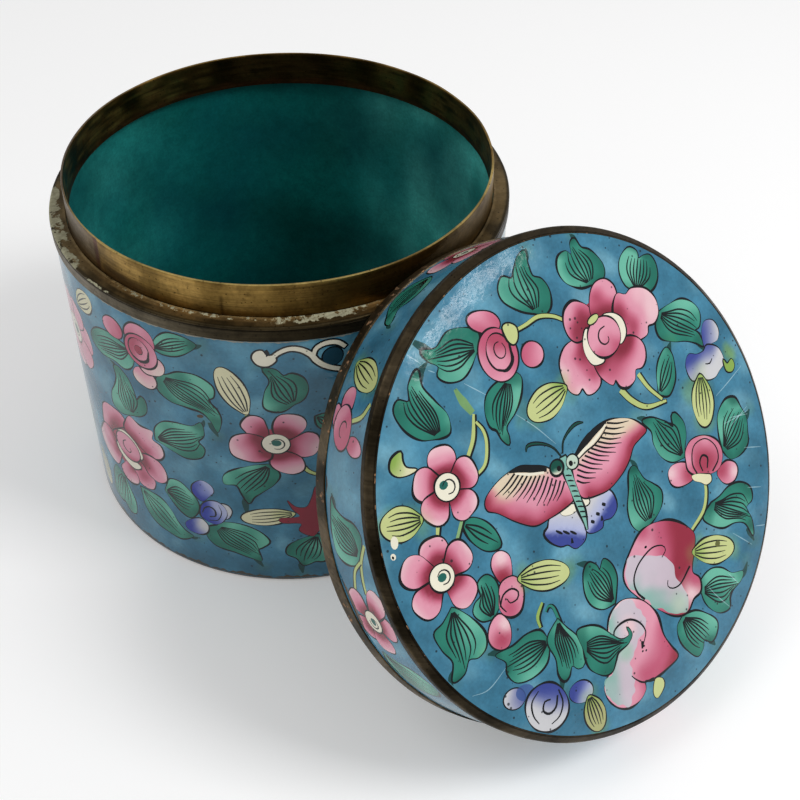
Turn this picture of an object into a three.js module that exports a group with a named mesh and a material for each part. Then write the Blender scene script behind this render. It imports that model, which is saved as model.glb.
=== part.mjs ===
// A round enamelled copper jar whose lid is off and leans against it.
// Millimetres, +Z up. The origin is the centre of the jar's flat underside.
// The lid leans on the -Y side, its top facing away from the jar.
import * as THREE from 'three';

// The jar's cup, enamelled inside and out
const bodyRadius = 47.2;
const bodyHeight = 68;
const footFlare = 0.5;
const bodyWall = 1.8;
const floorThickness = 1.8;
const footRounding = 0.8;
const floorRounding = 3;

// The metal band that caps the cup and makes the ledge under the lid
const bandHeight = 3.3;
const bandProud = 0.3;
const bandSheet = 0.6;
const ledgeThickness = 1;
const ledgeRounding = 0.5;

// The thin brass collar that the lid slides over
const collarHeight = 7;
const collarSheet = 0.5;
const collarInset = 0.7;
const collarTaper = 0.1;

// The lid, a shallow enamelled cap with a metal ring round each edge
const lidSideHeight = 17.8;
const lidWall = 2.1;
const lidClearance = 0.7;
const lidTopThickness = 1.8;
const lidCeilingRounding = 3;
const ringProud = 0.3;
const ringSheet = 0.6;
const mouthRingHeight = 3.2;
const mouthRingFoot = 1;
const mouthRingRounding = 0.4;
const topRingDrop = 1.2;
const topRingBevelWidth = 1.3;
const topRingBevelRise = 1;
const shoulderWidth = 4;
const shoulderRise = 0.6;
const crownRise = 0.3;

// How the lid leans: sideways of the jar's middle, and how far up the collar its rim touches
const lidSideways = 5;
const lidTouchShare = 0.6;
const steepestLean = THREE.MathUtils.degToRad(72);

// Pieces that meet keep this gap
const gap = 0.3;
const sides = 76;

// Heights and radii that follow from the sizes above
const ledgeHeight = bodyHeight + bandHeight;
const ledgeUnderside = ledgeHeight - ledgeThickness;
const bandRadius = bodyRadius + bandProud;
const lidRadius = bodyRadius;
const lidSideRadius = lidRadius - ringProud;
const lidInnerRadius = lidSideRadius - lidWall;
const collarRadius = lidInnerRadius - lidClearance;
const collarTop = ledgeHeight + collarHeight;

// Points on a quarter circle from angle `from` to angle `to`, in degrees, without its first point
function arc(centreR, centreZ, radius, from, to, steps) {
  const points = [];
  for (let i = 1; i <= steps; i += 1) {
    const angle = THREE.MathUtils.degToRad(from + ((to - from) * i) / steps);
    points.push([centreR + radius * Math.cos(angle), centreZ + radius * Math.sin(angle)]);
  }
  return points;
}

// A solid of revolution about +Z from an outline of [radius, height] points
function turned(name, outline, colour, roughness, metalness) {
  const points = outline.map(([radius, height]) => new THREE.Vector2(radius, height));
  const geometry = new THREE.LatheGeometry(points, sides);
  geometry.rotateX(Math.PI / 2);
  const material = new THREE.MeshStandardMaterial({ color: colour, roughness, metalness });
  const mesh = new THREE.Mesh(geometry, material);
  mesh.name = name;
  return mesh;
}

// The outline closed on itself, for a ring with a hole through it
function closed(outline) {
  return [...outline, outline[0]];
}

// The cup: flat underside, slightly flared foot, and a neck that the band caps
function jarBody() {
  const footRadius = bodyRadius + footFlare;
  const innerFootRadius = footRadius - bodyWall;
  const innerTopRadius = bodyRadius - bodyWall;
  const neckRadius = bandRadius - bandSheet - gap;
  const neckTop = ledgeUnderside - gap;
  const outline = [
    [0, 0],
    [footRadius - footRounding, 0],
    ...arc(footRadius - footRounding, footRounding, footRounding, -90, 0, 3),
    [bodyRadius, bodyHeight],
    [neckRadius, bodyHeight],
    [neckRadius, neckTop],
    [innerTopRadius, neckTop],
    [innerFootRadius, floorThickness + floorRounding],
    ...arc(innerFootRadius - floorRounding, floorThickness + floorRounding, floorRounding, 0, -90, 4),
    [0, floorThickness],
  ];
  return turned('jar_body', outline, 0x3f7f9c, 0.2, 0);
}

// The band: a skirt outside the neck and a flat ledge over its top
function jarRimBand() {
  const skirtRadius = bandRadius - bandSheet;
  const outline = [
    [skirtRadius, bodyHeight + gap],
    [bandRadius, bodyHeight + gap],
    [bandRadius, ledgeHeight - ledgeRounding],
    ...arc(bandRadius - ledgeRounding, ledgeHeight - ledgeRounding, ledgeRounding, 0, 90, 3),
    [collarRadius + gap, ledgeHeight],
    [collarRadius + gap, ledgeUnderside],
    [skirtRadius, ledgeUnderside],
  ];
  return turned('jar_rim_band', closed(outline), 0x3a3024, 0.45, 1);
}

// The collar: a thin sleeve let into the ledge and standing up from it
function jarCollar() {
  const bottom = ledgeHeight - collarInset;
  const topRadius = collarRadius - collarTaper;
  const lip = collarSheet / 4;
  const outline = [
    [collarRadius - collarSheet, bottom],
    [collarRadius, bottom],
    [collarRadius, ledgeHeight],
    [topRadius, collarTop - lip],
    [topRadius - lip, collarTop],
    [topRadius - collarSheet + lip, collarTop],
    [topRadius - collarSheet, collarTop - lip],
  ];
  return turned('jar_collar', closed(outline), 0x8a7340, 0.35, 1);
}

// The lid's shell, mouth at height 0, with a rebate for the ring at each edge
function lidBody() {
  const rebateRadius = lidRadius - ringSheet - gap;
  const faceRadius = lidRadius - topRingBevelWidth - gap;
  const faceEdge = lidSideHeight + topRingBevelRise;
  const flatRadius = faceRadius - shoulderWidth;
  const crown = faceEdge + shoulderRise + crownRise;
  const ringFloor = lidSideHeight - topRingDrop;
  const ceiling = faceEdge - lidTopThickness;
  const rounding = lidCeilingRounding;
  const outline = [
    [0, ceiling + crownRise],
    [lidInnerRadius - rounding, ceiling],
    ...arc(lidInnerRadius - rounding, ceiling - rounding, rounding, 90, 0, 4),
    [lidInnerRadius, mouthRingFoot + gap],
    [rebateRadius, mouthRingFoot + gap],
    [rebateRadius, mouthRingHeight + gap],
    [lidSideRadius, mouthRingHeight + gap],
    [lidSideRadius, ringFloor - gap],
    [rebateRadius, ringFloor - gap],
    [rebateRadius, lidSideHeight - gap],
    [faceRadius, faceEdge - ringSheet - gap],
    [faceRadius, faceEdge],
  ];
  const shoulderSteps = 4;
  for (let i = 1; i <= shoulderSteps; i += 1) {
    const turn = (Math.PI / 2) * (i / shoulderSteps);
    const radius = faceRadius - shoulderWidth * (1 - Math.cos(turn));
    outline.push([radius, faceEdge + shoulderRise * Math.sin(turn)]);
  }
  const crownSteps = 3;
  for (let i = 1; i <= crownSteps; i += 1) {
    const share = i / crownSteps;
    const radius = flatRadius * (1 - share);
    outline.push([radius, crown - crownRise * (1 - share) ** 2]);
  }
  return turned('lid_body', outline, 0x3f7f9c, 0.2, 0);
}

// The ring round the lid's top: a short upright strip with a bevel over the edge
function lidTopRing() {
  const ringFloor = lidSideHeight - topRingDrop;
  const bevelRadius = lidRadius - topRingBevelWidth;
  const bevelTop = lidSideHeight + topRingBevelRise;
  const outline = [
    [lidRadius - ringSheet, ringFloor],
    [lidRadius, ringFloor],
    [lidRadius, lidSideHeight],
    [bevelRadius, bevelTop],
    [bevelRadius, bevelTop - ringSheet],
    [lidRadius - ringSheet, lidSideHeight - gap / 2],
  ];
  return turned('lid_top_ring', closed(outline), 0x3a3024, 0.45, 1);
}

// The ring round the lid's mouth: a strip outside the wall, turned in under its edge
function lidMouthRing() {
  const rounding = mouthRingRounding;
  const outline = [
    [lidInnerRadius, 0],
    [lidRadius - rounding, 0],
    ...arc(lidRadius - rounding, rounding, rounding, -90, 0, 3),
    [lidRadius, mouthRingHeight],
    [lidRadius - ringSheet, mouthRingHeight],
    [lidRadius - ringSheet, mouthRingFoot],
    [lidInnerRadius, mouthRingFoot],
  ];
  return turned('lid_mouth_ring', closed(outline), 0x3a3024, 0.45, 1);
}

// The jar's outside radius at a height, for the lid to lean against
function jarRadiusAt(height) {
  if (height > collarTop) {
    return 0;
  }
  if (height > ledgeHeight) {
    return collarRadius;
  }
  if (height > bodyHeight) {
    return bandRadius;
  }
  return bodyRadius + footFlare * (1 - height / bodyHeight);
}

// Lean the lid so that its rim stands on the ground and touches the collar
function leanLid(lid) {
  const wantedTouch = ledgeHeight + collarHeight * lidTouchShare;
  const touchHeight = Math.min(wantedTouch, 2 * lidRadius * Math.sin(steepestLean));
  const lean = Math.asin(touchHeight / (2 * lidRadius));
  const rounding = mouthRingRounding;
  const centreHeight = (lidRadius - rounding) * Math.sin(lean) - rounding * Math.cos(lean) + rounding;
  let centreY = Infinity;
  const rimSteps = 720;
  for (const radius of [lidRadius, lidInnerRadius]) {
    for (let i = 0; i < rimSteps; i += 1) {
      const angle = (2 * Math.PI * i) / rimSteps;
      const x = lidSideways + radius * Math.sin(angle);
      const rise = radius * Math.cos(angle) * Math.sin(lean);
      const reach = jarRadiusAt(centreHeight + rise) + gap;
      if (Math.abs(x) < reach && rise > 0) {
        const limit = -Math.sqrt(reach ** 2 - x ** 2) - radius * Math.cos(angle) * Math.cos(lean);
        centreY = Math.min(centreY, limit);
      }
    }
  }
  lid.rotation.x = lean;
  lid.position.set(lidSideways, centreY, centreHeight);
}

const jar = new THREE.Group();
jar.add(jarBody(), jarRimBand(), jarCollar());

const lid = new THREE.Group();
lid.add(lidBody(), lidTopRing(), lidMouthRing());
leanLid(lid);

const object = new THREE.Group();
object.add(jar, lid);

export default object;
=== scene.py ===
# A round enamelled jar with flowers on a blue ground. Its lid is off and leans against it.
# The frame is in metres. Sizes here are in millimetres and become metres when a mesh is made.
import math

import bpy
import numpy as np
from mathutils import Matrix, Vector
from mathutils.geometry import delaunay_2d_cdt


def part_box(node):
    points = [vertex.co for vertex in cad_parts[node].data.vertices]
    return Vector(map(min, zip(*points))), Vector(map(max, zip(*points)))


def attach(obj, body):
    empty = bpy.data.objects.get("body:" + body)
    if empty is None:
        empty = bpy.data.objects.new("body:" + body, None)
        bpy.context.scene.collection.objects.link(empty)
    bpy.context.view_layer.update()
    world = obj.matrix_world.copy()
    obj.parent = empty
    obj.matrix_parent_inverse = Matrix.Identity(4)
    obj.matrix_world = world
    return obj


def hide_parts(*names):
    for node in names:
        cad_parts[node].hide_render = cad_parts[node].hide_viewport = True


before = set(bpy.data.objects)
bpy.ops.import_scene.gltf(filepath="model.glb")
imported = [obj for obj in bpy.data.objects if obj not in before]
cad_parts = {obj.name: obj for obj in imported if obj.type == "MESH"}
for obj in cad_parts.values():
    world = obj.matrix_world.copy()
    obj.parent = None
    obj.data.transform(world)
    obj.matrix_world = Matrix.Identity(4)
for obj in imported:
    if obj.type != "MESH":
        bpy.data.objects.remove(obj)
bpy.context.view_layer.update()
MM = 0.001


def box_mm(node):
    low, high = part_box(node)
    return np.array(low) / MM, np.array(high) / MM


# Sizes read from the frame
FOOT_RADIUS = box_mm("jar_body")[1][0]
NECK_TOP = box_mm("jar_body")[1][2]
BAND_RADIUS = box_mm("jar_rim_band")[1][0]
LEDGE_HEIGHT = box_mm("jar_rim_band")[1][2]
COLLAR_RADIUS = box_mm("jar_collar")[1][0]
COLLAR_FOOT = box_mm("jar_collar")[0][2]
COLLAR_TOP = box_mm("jar_collar")[1][2]
MOUTH_BOX = box_mm("lid_mouth_ring")

# Sizes that the frame's boxes don't give
BAND_PROUD = 0.3
BAND_SHEET = 0.6
BODY_HEIGHT = 68.0
BODY_WALL = 1.8
FLOOR_THICKNESS = 1.8
FOOT_ROUNDING = 0.8
FLOOR_ROUNDING = 3.0
CEILING_ROUNDING = 3.0
LEDGE_THICKNESS = 1.0
COLLAR_SHEET = 0.5
COLLAR_TAPER = 0.1
LID_SIDE_HEIGHT = 17.8
LID_WALL = 2.1
LID_TOP = 1.8
RING_PROUD = 0.3
RING_SHEET = 0.6
MOUTH_RING_HEIGHT = 3.2
MOUTH_RING_FOOT = 1.0
TOP_RING_DROP = 1.2
BEVEL_WIDTH = 1.3
BEVEL_RISE = 1.0
SHOULDER_RISE = 0.6
CROWN_RISE = 0.3
TOUCH_SHARE = 0.6
SEAT_GAP = 0.3
HAIR_GAP = 0.03

BODY_RADIUS = BAND_RADIUS - BAND_PROUD
LID_RADIUS = BODY_RADIUS
LID_SIDE_RADIUS = LID_RADIUS - RING_PROUD
LID_INNER_RADIUS = LID_SIDE_RADIUS - LID_WALL
FACE_RADIUS = LID_RADIUS - BEVEL_WIDTH - SEAT_GAP
FACE_EDGE = LID_SIDE_HEIGHT + BEVEL_RISE

# The lid's lean, from the height at which its rim touches the collar
TOUCH_HEIGHT = LEDGE_HEIGHT + (COLLAR_TOP - LEDGE_HEIGHT) * TOUCH_SHARE
LEAN = math.asin(TOUCH_HEIGHT / (2 * LID_RADIUS))
LID_X = (MOUTH_BOX[0][0] + MOUTH_BOX[1][0]) / 2
LID_Y = MOUTH_BOX[0][1] + LID_RADIUS * math.cos(LEAN) + MOUTH_RING_HEIGHT * math.sin(LEAN)
LID_Z = MOUTH_BOX[1][2] - LID_RADIUS * math.sin(LEAN) - MOUTH_RING_HEIGHT * math.cos(LEAN)
MOUTH_ROUNDING = 0.4
LID_RIGHT = np.array([1.0, 0.0, 0.0])
LID_UP = np.array([0.0, math.cos(LEAN), math.sin(LEAN)])
LID_OUT = np.array([0.0, -math.sin(LEAN), math.cos(LEAN)])
LID_PLACE = np.array([LID_X, LID_Y, LID_Z])

# Every turned surface has this many steps round it
ROUND_STEPS = 512
JAR_CHART_RADIUS = 47.4
JAR_LEFT = -175.0
JAR_RIGHT = JAR_LEFT + 2 * math.pi * JAR_CHART_RADIUS
JAR_LOW, JAR_HIGH = 0.8, BODY_HEIGHT
JAR_SEAM = JAR_LEFT / JAR_CHART_RADIUS
LID_LEFT = -97.0
LID_SEAM = LID_LEFT / LID_SIDE_RADIUS
LID_LOW = MOUTH_RING_HEIGHT + SEAT_GAP
LID_HIGH = LID_SIDE_HEIGHT - TOP_RING_DROP - SEAT_GAP

# Noise on the metal rings is read on a circle of this radius, so that it closes on itself
RING_NOISE_RADIUS = 47.0
COLLAR_NOISE_RADIUS = 44.0


# Small helpers for shapes and colours
def rgb(code):
    return np.array([int(code[i : i + 2], 16) / 255 for i in (1, 3, 5)])


def as_light(colour):
    """A colour on the screen's scale turned into amounts of light."""
    return np.where(colour <= 0.04045, colour / 12.92, ((colour + 0.055) / 1.055) ** 2.4)


def ramp(value, start, end):
    share = np.clip((value - start) / (end - start), 0, 1)
    return share * share * (3 - 2 * share)


def mix(first, second, share):
    return first + (second - first) * np.asarray(share)[..., None]


def masked(colour, mask):
    """A paint with its mask as the fourth channel."""
    mask = np.broadcast_to(mask, colour.shape[:-1])
    return np.concatenate([np.clip(colour, 0, 1), mask[..., None]], -1)


def on_circle(degrees):
    """Places on a circle of radius 1, one for each angle."""
    turn = np.radians(degrees)
    return np.stack([np.cos(turn), np.sin(turn)], 1)


def around(turn, radius, height):
    """Places round the axis at one radius."""
    return np.stack([np.cos(turn) * radius, np.sin(turn) * radius, height], -1)


def waver(places, size, seed):
    """Smooth noise between about -1 and 1 whose bumps are about `size` across."""
    draw = np.random.default_rng(seed)
    places = np.asarray(places, float)
    total = 0.0
    for _ in range(6):
        direction = draw.normal(size=places.shape[-1])
        direction /= np.linalg.norm(direction)
        pitch = draw.uniform(0.35, 0.8) / size
        total = total + np.sin(2 * math.pi * (places @ direction * pitch + draw.uniform()))
    return total / 3.2


def unit(vector):
    return np.asarray(vector, float) / max(np.linalg.norm(vector), 1e-9)


def smooth(points, closed=True, step=0.55):
    """A smooth curve through the points. A point given twice makes a corner."""
    p = np.asarray(points, float)
    if closed:
        before, start, end, after = np.roll(p, 1, 0), p, np.roll(p, -1, 0), np.roll(p, -2, 0)
    else:
        start, end = p[:-1], p[1:]
        before = np.vstack([2 * p[0] - p[1], p[:-2]])
        after = np.vstack([p[2:], 2 * p[-1] - p[-2]])
    pieces = []
    for a, b, c, d in zip(before, start, end, after):
        length = np.linalg.norm(c - b)
        if length < 1e-6:
            continue
        count = max(2, math.ceil(length / step))
        t = (np.arange(count) / count)[:, None]
        curve = 2 * b + (c - a) * t + (2 * a - 5 * b + 4 * c - d) * t**2
        pieces.append((curve + (3 * b - a - 3 * c + d) * t**3) / 2)
    if not closed:
        pieces.append(p[-1:])
    return np.vstack(pieces)


def oval(centre, wide, high, turn=0.0, step=0.45):
    count = max(8, math.ceil(math.pi * (wide + high) / step))
    t = 2 * math.pi * np.arange(count) / count
    x, y = wide * np.cos(t), high * np.sin(t)
    c, s = math.cos(math.radians(turn)), math.sin(math.radians(turn))
    return np.stack([centre[0] + c * x - s * y, centre[1] + s * x + c * y], 1)


def along(path, closed):
    """Unit normals of a path, to the left of its direction."""
    if closed:
        run = np.roll(path, -1, 0) - np.roll(path, 1, 0)
    else:
        run = np.gradient(path, axis=0)
    run /= np.maximum(np.linalg.norm(run, axis=1), 1e-9)[:, None]
    return np.stack([-run[:, 1], run[:, 0]], 1)


def grown(outline, width):
    """The closed outline moved outwards by `width`."""
    x, y = outline.T
    area = np.sum(x * np.roll(y, -1) - np.roll(x, -1) * y)
    side = -1.0 if area > 0 else 1.0
    return outline + along(outline, True) * side * np.asarray(width)[..., None]


def stroke(points, widths, step=0.6):
    """The outline of a brush line along the points, its width changing along the way."""
    path = smooth(points, False, step)
    far = np.concatenate([[0], np.cumsum(np.linalg.norm(np.diff(path, axis=0), axis=1))])
    wide = np.interp(far / far[-1], np.linspace(0, 1, len(widths)), widths) / 2
    offset = along(path, False) * wide[:, None]
    return np.vstack([path + offset, (path - offset)[::-1]])


def inside(outline, places):
    """Which places lie inside a closed outline."""
    x, y = places[:, 0:1], places[:, 1:2]
    x0, y0 = outline[:, 0], outline[:, 1]
    x1, y1 = np.roll(x0, -1), np.roll(y0, -1)
    rise = np.where(y1 == y0, 1e-12, y1 - y0)
    crosses = (y0 > y) != (y1 > y)
    left = x < x0 + (y - y0) * (x1 - x0) / rise
    return np.sum(np.where(crosses & left, np.sign(rise), 0), axis=1) != 0


# Paints, as seen on the object in plain light
INK = rgb("#0a0e12")
GROUND = rgb("#3d7893")
GROUND_DEEP = rgb("#2a617a")
GROUND_PALE = rgb("#74a6b8")
LEAF_MID = rgb("#287a69")
LEAF_PALE = rgb("#67b29b")
LEAF_DEEP = rgb("#0a4b3f")
CRIMSON = rgb("#902a3e")
ROSE = rgb("#bb5672")
PINK = rgb("#da94a8")
BLUSH = rgb("#e6c3c8")
CREAM = rgb("#e6e1cd")
BUD = rgb("#c0c888")
BUD_GREEN = rgb("#84a44c")
BUD_CREAM = rgb("#d9d5b0")
STEM = rgb("#b3c078")
COBALT = rgb("#36438c")
LILAC = rgb("#a9b0d2")
GREY_WHITE = rgb("#c6c6c9")
GREY_LILAC = rgb("#c3bcc6")
MINT = rgb("#7db2a5")
TEAL_DOT = rgb("#1d5f56")
WORN = rgb("#4a3a2a")
SCRATCH = rgb("#b9d2da")


STAR_RED = rgb("#7c1d2a")
COBALT_DEEP = rgb("#1a2c96")

# Length of the short straight pieces of a brush line, where it shows and where it is plainer
FINE_STEP = 0.55
PLAIN_STEP = 0.95
EDGE_ROOM = 0.14


class Chart:
    """A flat picture of one enamelled surface, in millimetres, painted in order."""

    def __init__(self, hold, step=FINE_STEP):
        self.hold = hold
        self.step = step
        self.plain = False
        self.move = lambda points: np.asarray(points, float)
        self.layers = []
        self.seed = 0

    def next_seed(self):
        self.seed += 1
        return self.seed

    def fill(self, outline, colour, strength=1.0, ground=0.0):
        self.layers.append(("fill", self.hold(outline), colour, strength, ground))

    def inked(self, outline, colour, edge=0.36):
        seed = self.next_seed()
        width = edge * np.clip(0.85 + 0.6 * waver(outline, 4.5, seed), 0.3, 1.6)
        self.fill(grown(outline, width), INK, 0.97)
        self.fill(outline, colour)

    def line(self, points, widths, colour=INK, strength=0.97, ground=0.0):
        outline = stroke(self.move(points), widths, self.step * 1.3)
        self.fill(outline, colour, strength, ground)

    def trace(self, path, widths, strength=0.9, stretch=1.0):
        """An ink line along places that are already in the chart."""
        self.fill(stroke(path, widths, self.step * stretch), INK, strength)

    def wash(self, centre, reach, colour, strength, ground=1.0):
        self.layers.append(("wash", (self.move([centre])[0], reach), colour, strength, ground))


def flower_tone(heart, reach, seed, deep=1.0):
    """Crimson near the heart, pink further out, pale at the edge."""

    def tone(places):
        far = np.linalg.norm(places - heart, axis=-1) / reach + 0.1 * waver(places, 3.6, seed)
        colour = mix(mix(CRIMSON, INK, 0.12), ROSE, ramp(far, 0.42 * deep, 0.68 * deep))
        colour = mix(colour, PINK, ramp(far, 0.56 * deep, 0.86 * deep))
        return mix(colour, BLUSH, 0.85 * ramp(far, 0.8, 1.06))

    return tone


def sided_tone(first, second, start, end, seed, size=4.0):
    """One paint at `start` and another at `end`, with a soft uneven change between them."""
    start, end = np.asarray(start, float), np.asarray(end, float)
    run = end - start
    length = float(run @ run)

    def tone(places):
        share = (places - start) @ run / length + 0.16 * waver(places, size, seed)
        return mix(first, second, ramp(share, 0.0, 1.0))

    return tone


def leaf_sides(edge, base, axis, across, length, levels):
    """How far a leaf reaches to each side of its middle line at each level."""
    u, v = (edge - base) @ axis / length, (edge - base) @ across
    next_u, next_v = np.roll(u, -1), np.roll(v, -1)
    high, low = [], []
    for level in levels:
        cut = (u > level) != (next_u > level)
        share = (level - u[cut]) / (next_u[cut] - u[cut])
        found = v[cut] + share * (next_v[cut] - v[cut])
        high.append(found.max() if len(found) else 0)
        low.append(found.min() if len(found) else 0)
    calm = np.array([0.25, 0.5, 0.25])
    return [np.convolve(np.pad(side, 1, "edge"), calm, "valid") for side in (high, low)]


def leaf(chart, outline, veins=9, tail=None, light=0.0, side=1.0, lean=0.0):
    """A leaf whose first point is where its stalk and veins meet."""
    seed = chart.next_seed()
    points = chart.move(outline)
    base = points[0]
    edge = smooth(np.vstack([points[:1], points]), True, chart.step)
    centre = edge.mean(0)
    axis = unit(centre - base)
    across = np.array([-axis[1], axis[0]]) * side
    length = max((edge - base) @ axis)

    def tone(places):
        u = (places - base) @ axis / length
        v = (places - base) @ across / length * 2
        pale = ramp(v + 0.45 * waver(places, 5.0, seed) + light, -0.3, 1.1)
        colour = mix(LEAF_MID, LEAF_PALE, pale)
        deep = 0.75 * ramp(u + 0.1 * waver(places, 3.0, seed + 9), 0.8, 1.06)
        deep = np.maximum(deep, 0.4 * ramp(0.16 - u, 0.0, 0.16))
        deep = np.maximum(deep, 0.45 * ramp(-v + 0.2 * waver(places, 4.0, seed + 5), 0.35, 1.0))
        return mix(colour, LEAF_DEEP, deep * (1 - 0.5 * min(max(light, 0), 1)))

    if tail is not None:
        tip = chart.move([tail])[0]
        chart.layers.append(("wash", (tip, 2.6), BUD_GREEN, 0.12, 1.0))
        near = edge[np.argmin(np.linalg.norm(edge - tip, axis=1))]
        start = near + 0.3 * (centre - near)
        bend = near + 0.12 * np.array([tip[1] - start[1], start[0] - tip[0]])
        path = stroke([start, bend, tip], [1.2, 1.7, 1.1, 0.3], chart.step)
        chart.fill(path, mix(LEAF_DEEP, INK, 0.35), 0.8)
    chart.inked(edge, tone)
    count = max(3, veins // 2) if chart.plain else max(3, veins - 2)
    levels = np.linspace(0, 1, 13)
    high, low = leaf_sides(edge, base, axis, across, length, levels)
    for i in range(count):
        f = -0.7 + 1.4 * (i + 0.5) / count + lean
        reach = 0.86 - 0.22 * abs(f) + 0.06 * math.sin(2.3 * i + seed)
        u = np.linspace(0.07, reach, 6)
        v = max(f, 0) * np.interp(u, levels, high) + max(-f, 0) * np.interp(u, levels, low)
        v = v * np.sqrt(np.clip(u / 0.4, 0, 1))
        path = base + axis * (u * length)[:, None] + across * v[:, None]
        chart.trace(path, [0.26, 0.34, 0.36, 0.3, 0.12], 0.92, 1.6)


def petal(chart, heart, tip, width, tone):
    heart, tip = np.asarray(heart, float), np.asarray(tip, float)
    axis = tip - heart
    across = unit([-axis[1], axis[0]]) * width / 2
    shape = ((0.12, 0.25), (0.38, 0.68), (0.63, 0.99), (0.85, 0.86), (0.97, 0.42))
    left = [heart + axis * u + across * v for u, v in shape]
    right = [heart + axis * u - across * v for u, v in reversed(shape)]
    chart.inked(smooth(left + right, True, chart.step), tone)


def blossom(chart, heart, tips, width, dot=(0, 0.3), eye=2.4, deep=0.88):
    """An open flower of round petals with a white eye and a teal middle."""
    heart, tips = chart.move([heart])[0], chart.move(tips)
    reach = float(np.mean(np.linalg.norm(tips - heart, axis=1)))
    for tip in tips:
        petal(chart, heart, tip, width, flower_tone(heart, reach, chart.next_seed(), deep))
    flower_eye(chart, heart, dot, eye)


def flower_eye(chart, heart, dot, eye):
    """The white middle of an open flower, with a teal dot and a curl."""
    chart.inked(oval(heart, eye, eye * 0.96, 0, chart.step), CREAM, 0.34)
    if eye < 1.5:
        return
    middle = heart + np.array(dot) * eye / 2.4
    chart.fill(oval(middle, eye * 0.38, eye * 0.32, 0, chart.step), TEAL_DOT)
    curl = heart + on_circle(np.linspace(150, -120, 7)) * eye * 0.52 + [0.3, -0.1]
    chart.trace(curl, [0.16, 0.34, 0.2])


def spiral(chart, centre, radius, start, turns, width):
    steps = max(6, int(10 * turns))
    share = np.linspace(0, 1, steps)
    angle = np.radians(start) + 2 * math.pi * turns * share
    size = radius * (1 - 0.72 * share)
    points = np.stack([np.cos(angle) * size, np.sin(angle) * size], 1)
    chart.trace(centre + points, [width * 0.6, width, width * 0.5])


def rose_bud(chart, centre, wide, high, lobes=(), start=60, turn=0.0, pale_low=False, folds=True):
    """A closed flower: rolled petals one inside the other, off centre, and some lobes beside it."""
    centre = chart.move([centre])[0]
    for x, y, lobe_wide, lobe_high, lobe_turn in lobes:
        place = chart.move([(x, y)])[0]
        inward = unit(centre - place) * lobe_wide
        paints = (ROSE, PINK)
        if pale_low and place[1] < centre[1] - 0.6 * high:
            paints = (PINK, mix(BLUSH, CREAM, 0.5))
        tone = sided_tone(*paints, place + inward, place - inward, chart.next_seed(), 3.0)
        outline = oval(place, lobe_wide, lobe_high, lobe_turn, chart.step)
        outline += 0.14 * along(outline, True) * waver(outline, 3.0, chart.next_seed())[:, None]
        chart.inked(outline, tone, 0.36)
    aside = np.array([math.cos(math.radians(start)), math.sin(math.radians(start))])
    near, far = centre + 0.4 * wide * aside, centre - 1.1 * wide * aside
    tone = sided_tone(ROSE, PINK, near, far, chart.next_seed(), 3.0)
    chart.inked(oval(centre, wide, high, turn, chart.step), tone)
    ring = centre + 0.12 * wide * aside
    if not folds:
        curl = ring + on_circle(np.linspace(100, 350, 8)) * [0.36 * wide, 0.42 * high]
        chart.trace(curl, [0.16, 0.34, 0.3, 0.16])
        return
    half = 0.5 * wide * aside
    inner = sided_tone(mix(ROSE, CRIMSON, 0.35), PINK, ring + half, ring - half, 5, 3.0)
    chart.inked(oval(ring, 0.62 * wide, 0.7 * high, turn, chart.step), inner, 0.3)
    low = ring + np.array([(0.62, 0.1), (0.5, -0.5), (0.0, -0.74), (-0.45, -0.52)]) * [wide, high]
    chart.trace(low, [0.2, 0.75, 0.75, 0.2], 0.92)
    if pale_low:
        chart.inked(oval(ring, 0.24 * wide, 0.27 * high, turn, chart.step), mix(ROSE, CRIMSON, 0.7), 0.2)
        return
    curl = ring + on_circle(np.linspace(70, 400, 9)) * [0.3 * wide, 0.32 * high] + 0.1 * wide * aside
    chart.trace(curl, [0.2, 0.3, 0.24, 0.16], 0.88)


def bud(chart, root, tip, half, stripes=4, paints=None, halo=True):
    """A long pod with dark stripes that start at its stalk."""
    pale, green = paints or (BUD, BUD_GREEN)
    root, tip = chart.move([root, tip])
    axis = tip - root
    across = unit([-axis[1], axis[0]]) * half
    if halo:
        for share in (0.12, 0.5, 0.92):
            chart.layers.append(("wash", (root + axis * share, half * 1.35), BUD_GREEN, 0.34, 1.0))
    shape = ((0.08, 0.35), (0.3, 0.85), (0.58, 1.0), (0.85, 0.7), (0.98, 0.25))
    left = [root + axis * u + across * v for u, v in shape]
    right = [root + axis * u - across * v for u, v in reversed(shape)]
    outline = smooth([root] + left + right, True, chart.step)
    chart.inked(outline, sided_tone(green, pale, root - 0.2 * axis, root + 0.5 * axis, 3), 0.3)
    levels, sides = zip((0.0, 0.0), *shape)
    for i in range(stripes):
        v = -0.66 + 1.32 * i / (stripes - 1)
        reach = 0.86 - 0.12 * abs(v) + 0.05 * math.sin(1.7 * i + half)
        steps = np.linspace(0.06, reach, 5)
        path = [root + axis * u + across * v * np.interp(u, levels, sides) for u in steps]
        chart.trace(path, [0.26, 0.34, 0.3, 0.12], 0.88, 1.5)


def stem(chart, points, widths=(1.0, 0.9), colour=STEM, side=0.3):
    points = chart.move(points)
    dark = stroke(points + np.array([side, -side]) * 0.5, [0.85 * w + 0.4 for w in widths], chart.step)
    chart.fill(dark, INK, 0.95)
    chart.fill(stroke(points, [0.78 * w for w in widths], chart.step), colour)


def shape(chart, points, colour, edge=0.42):
    outline = smooth(chart.move(points), True, chart.step)
    if edge:
        chart.inked(outline, colour, edge)
    else:
        chart.fill(outline, colour)


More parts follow.
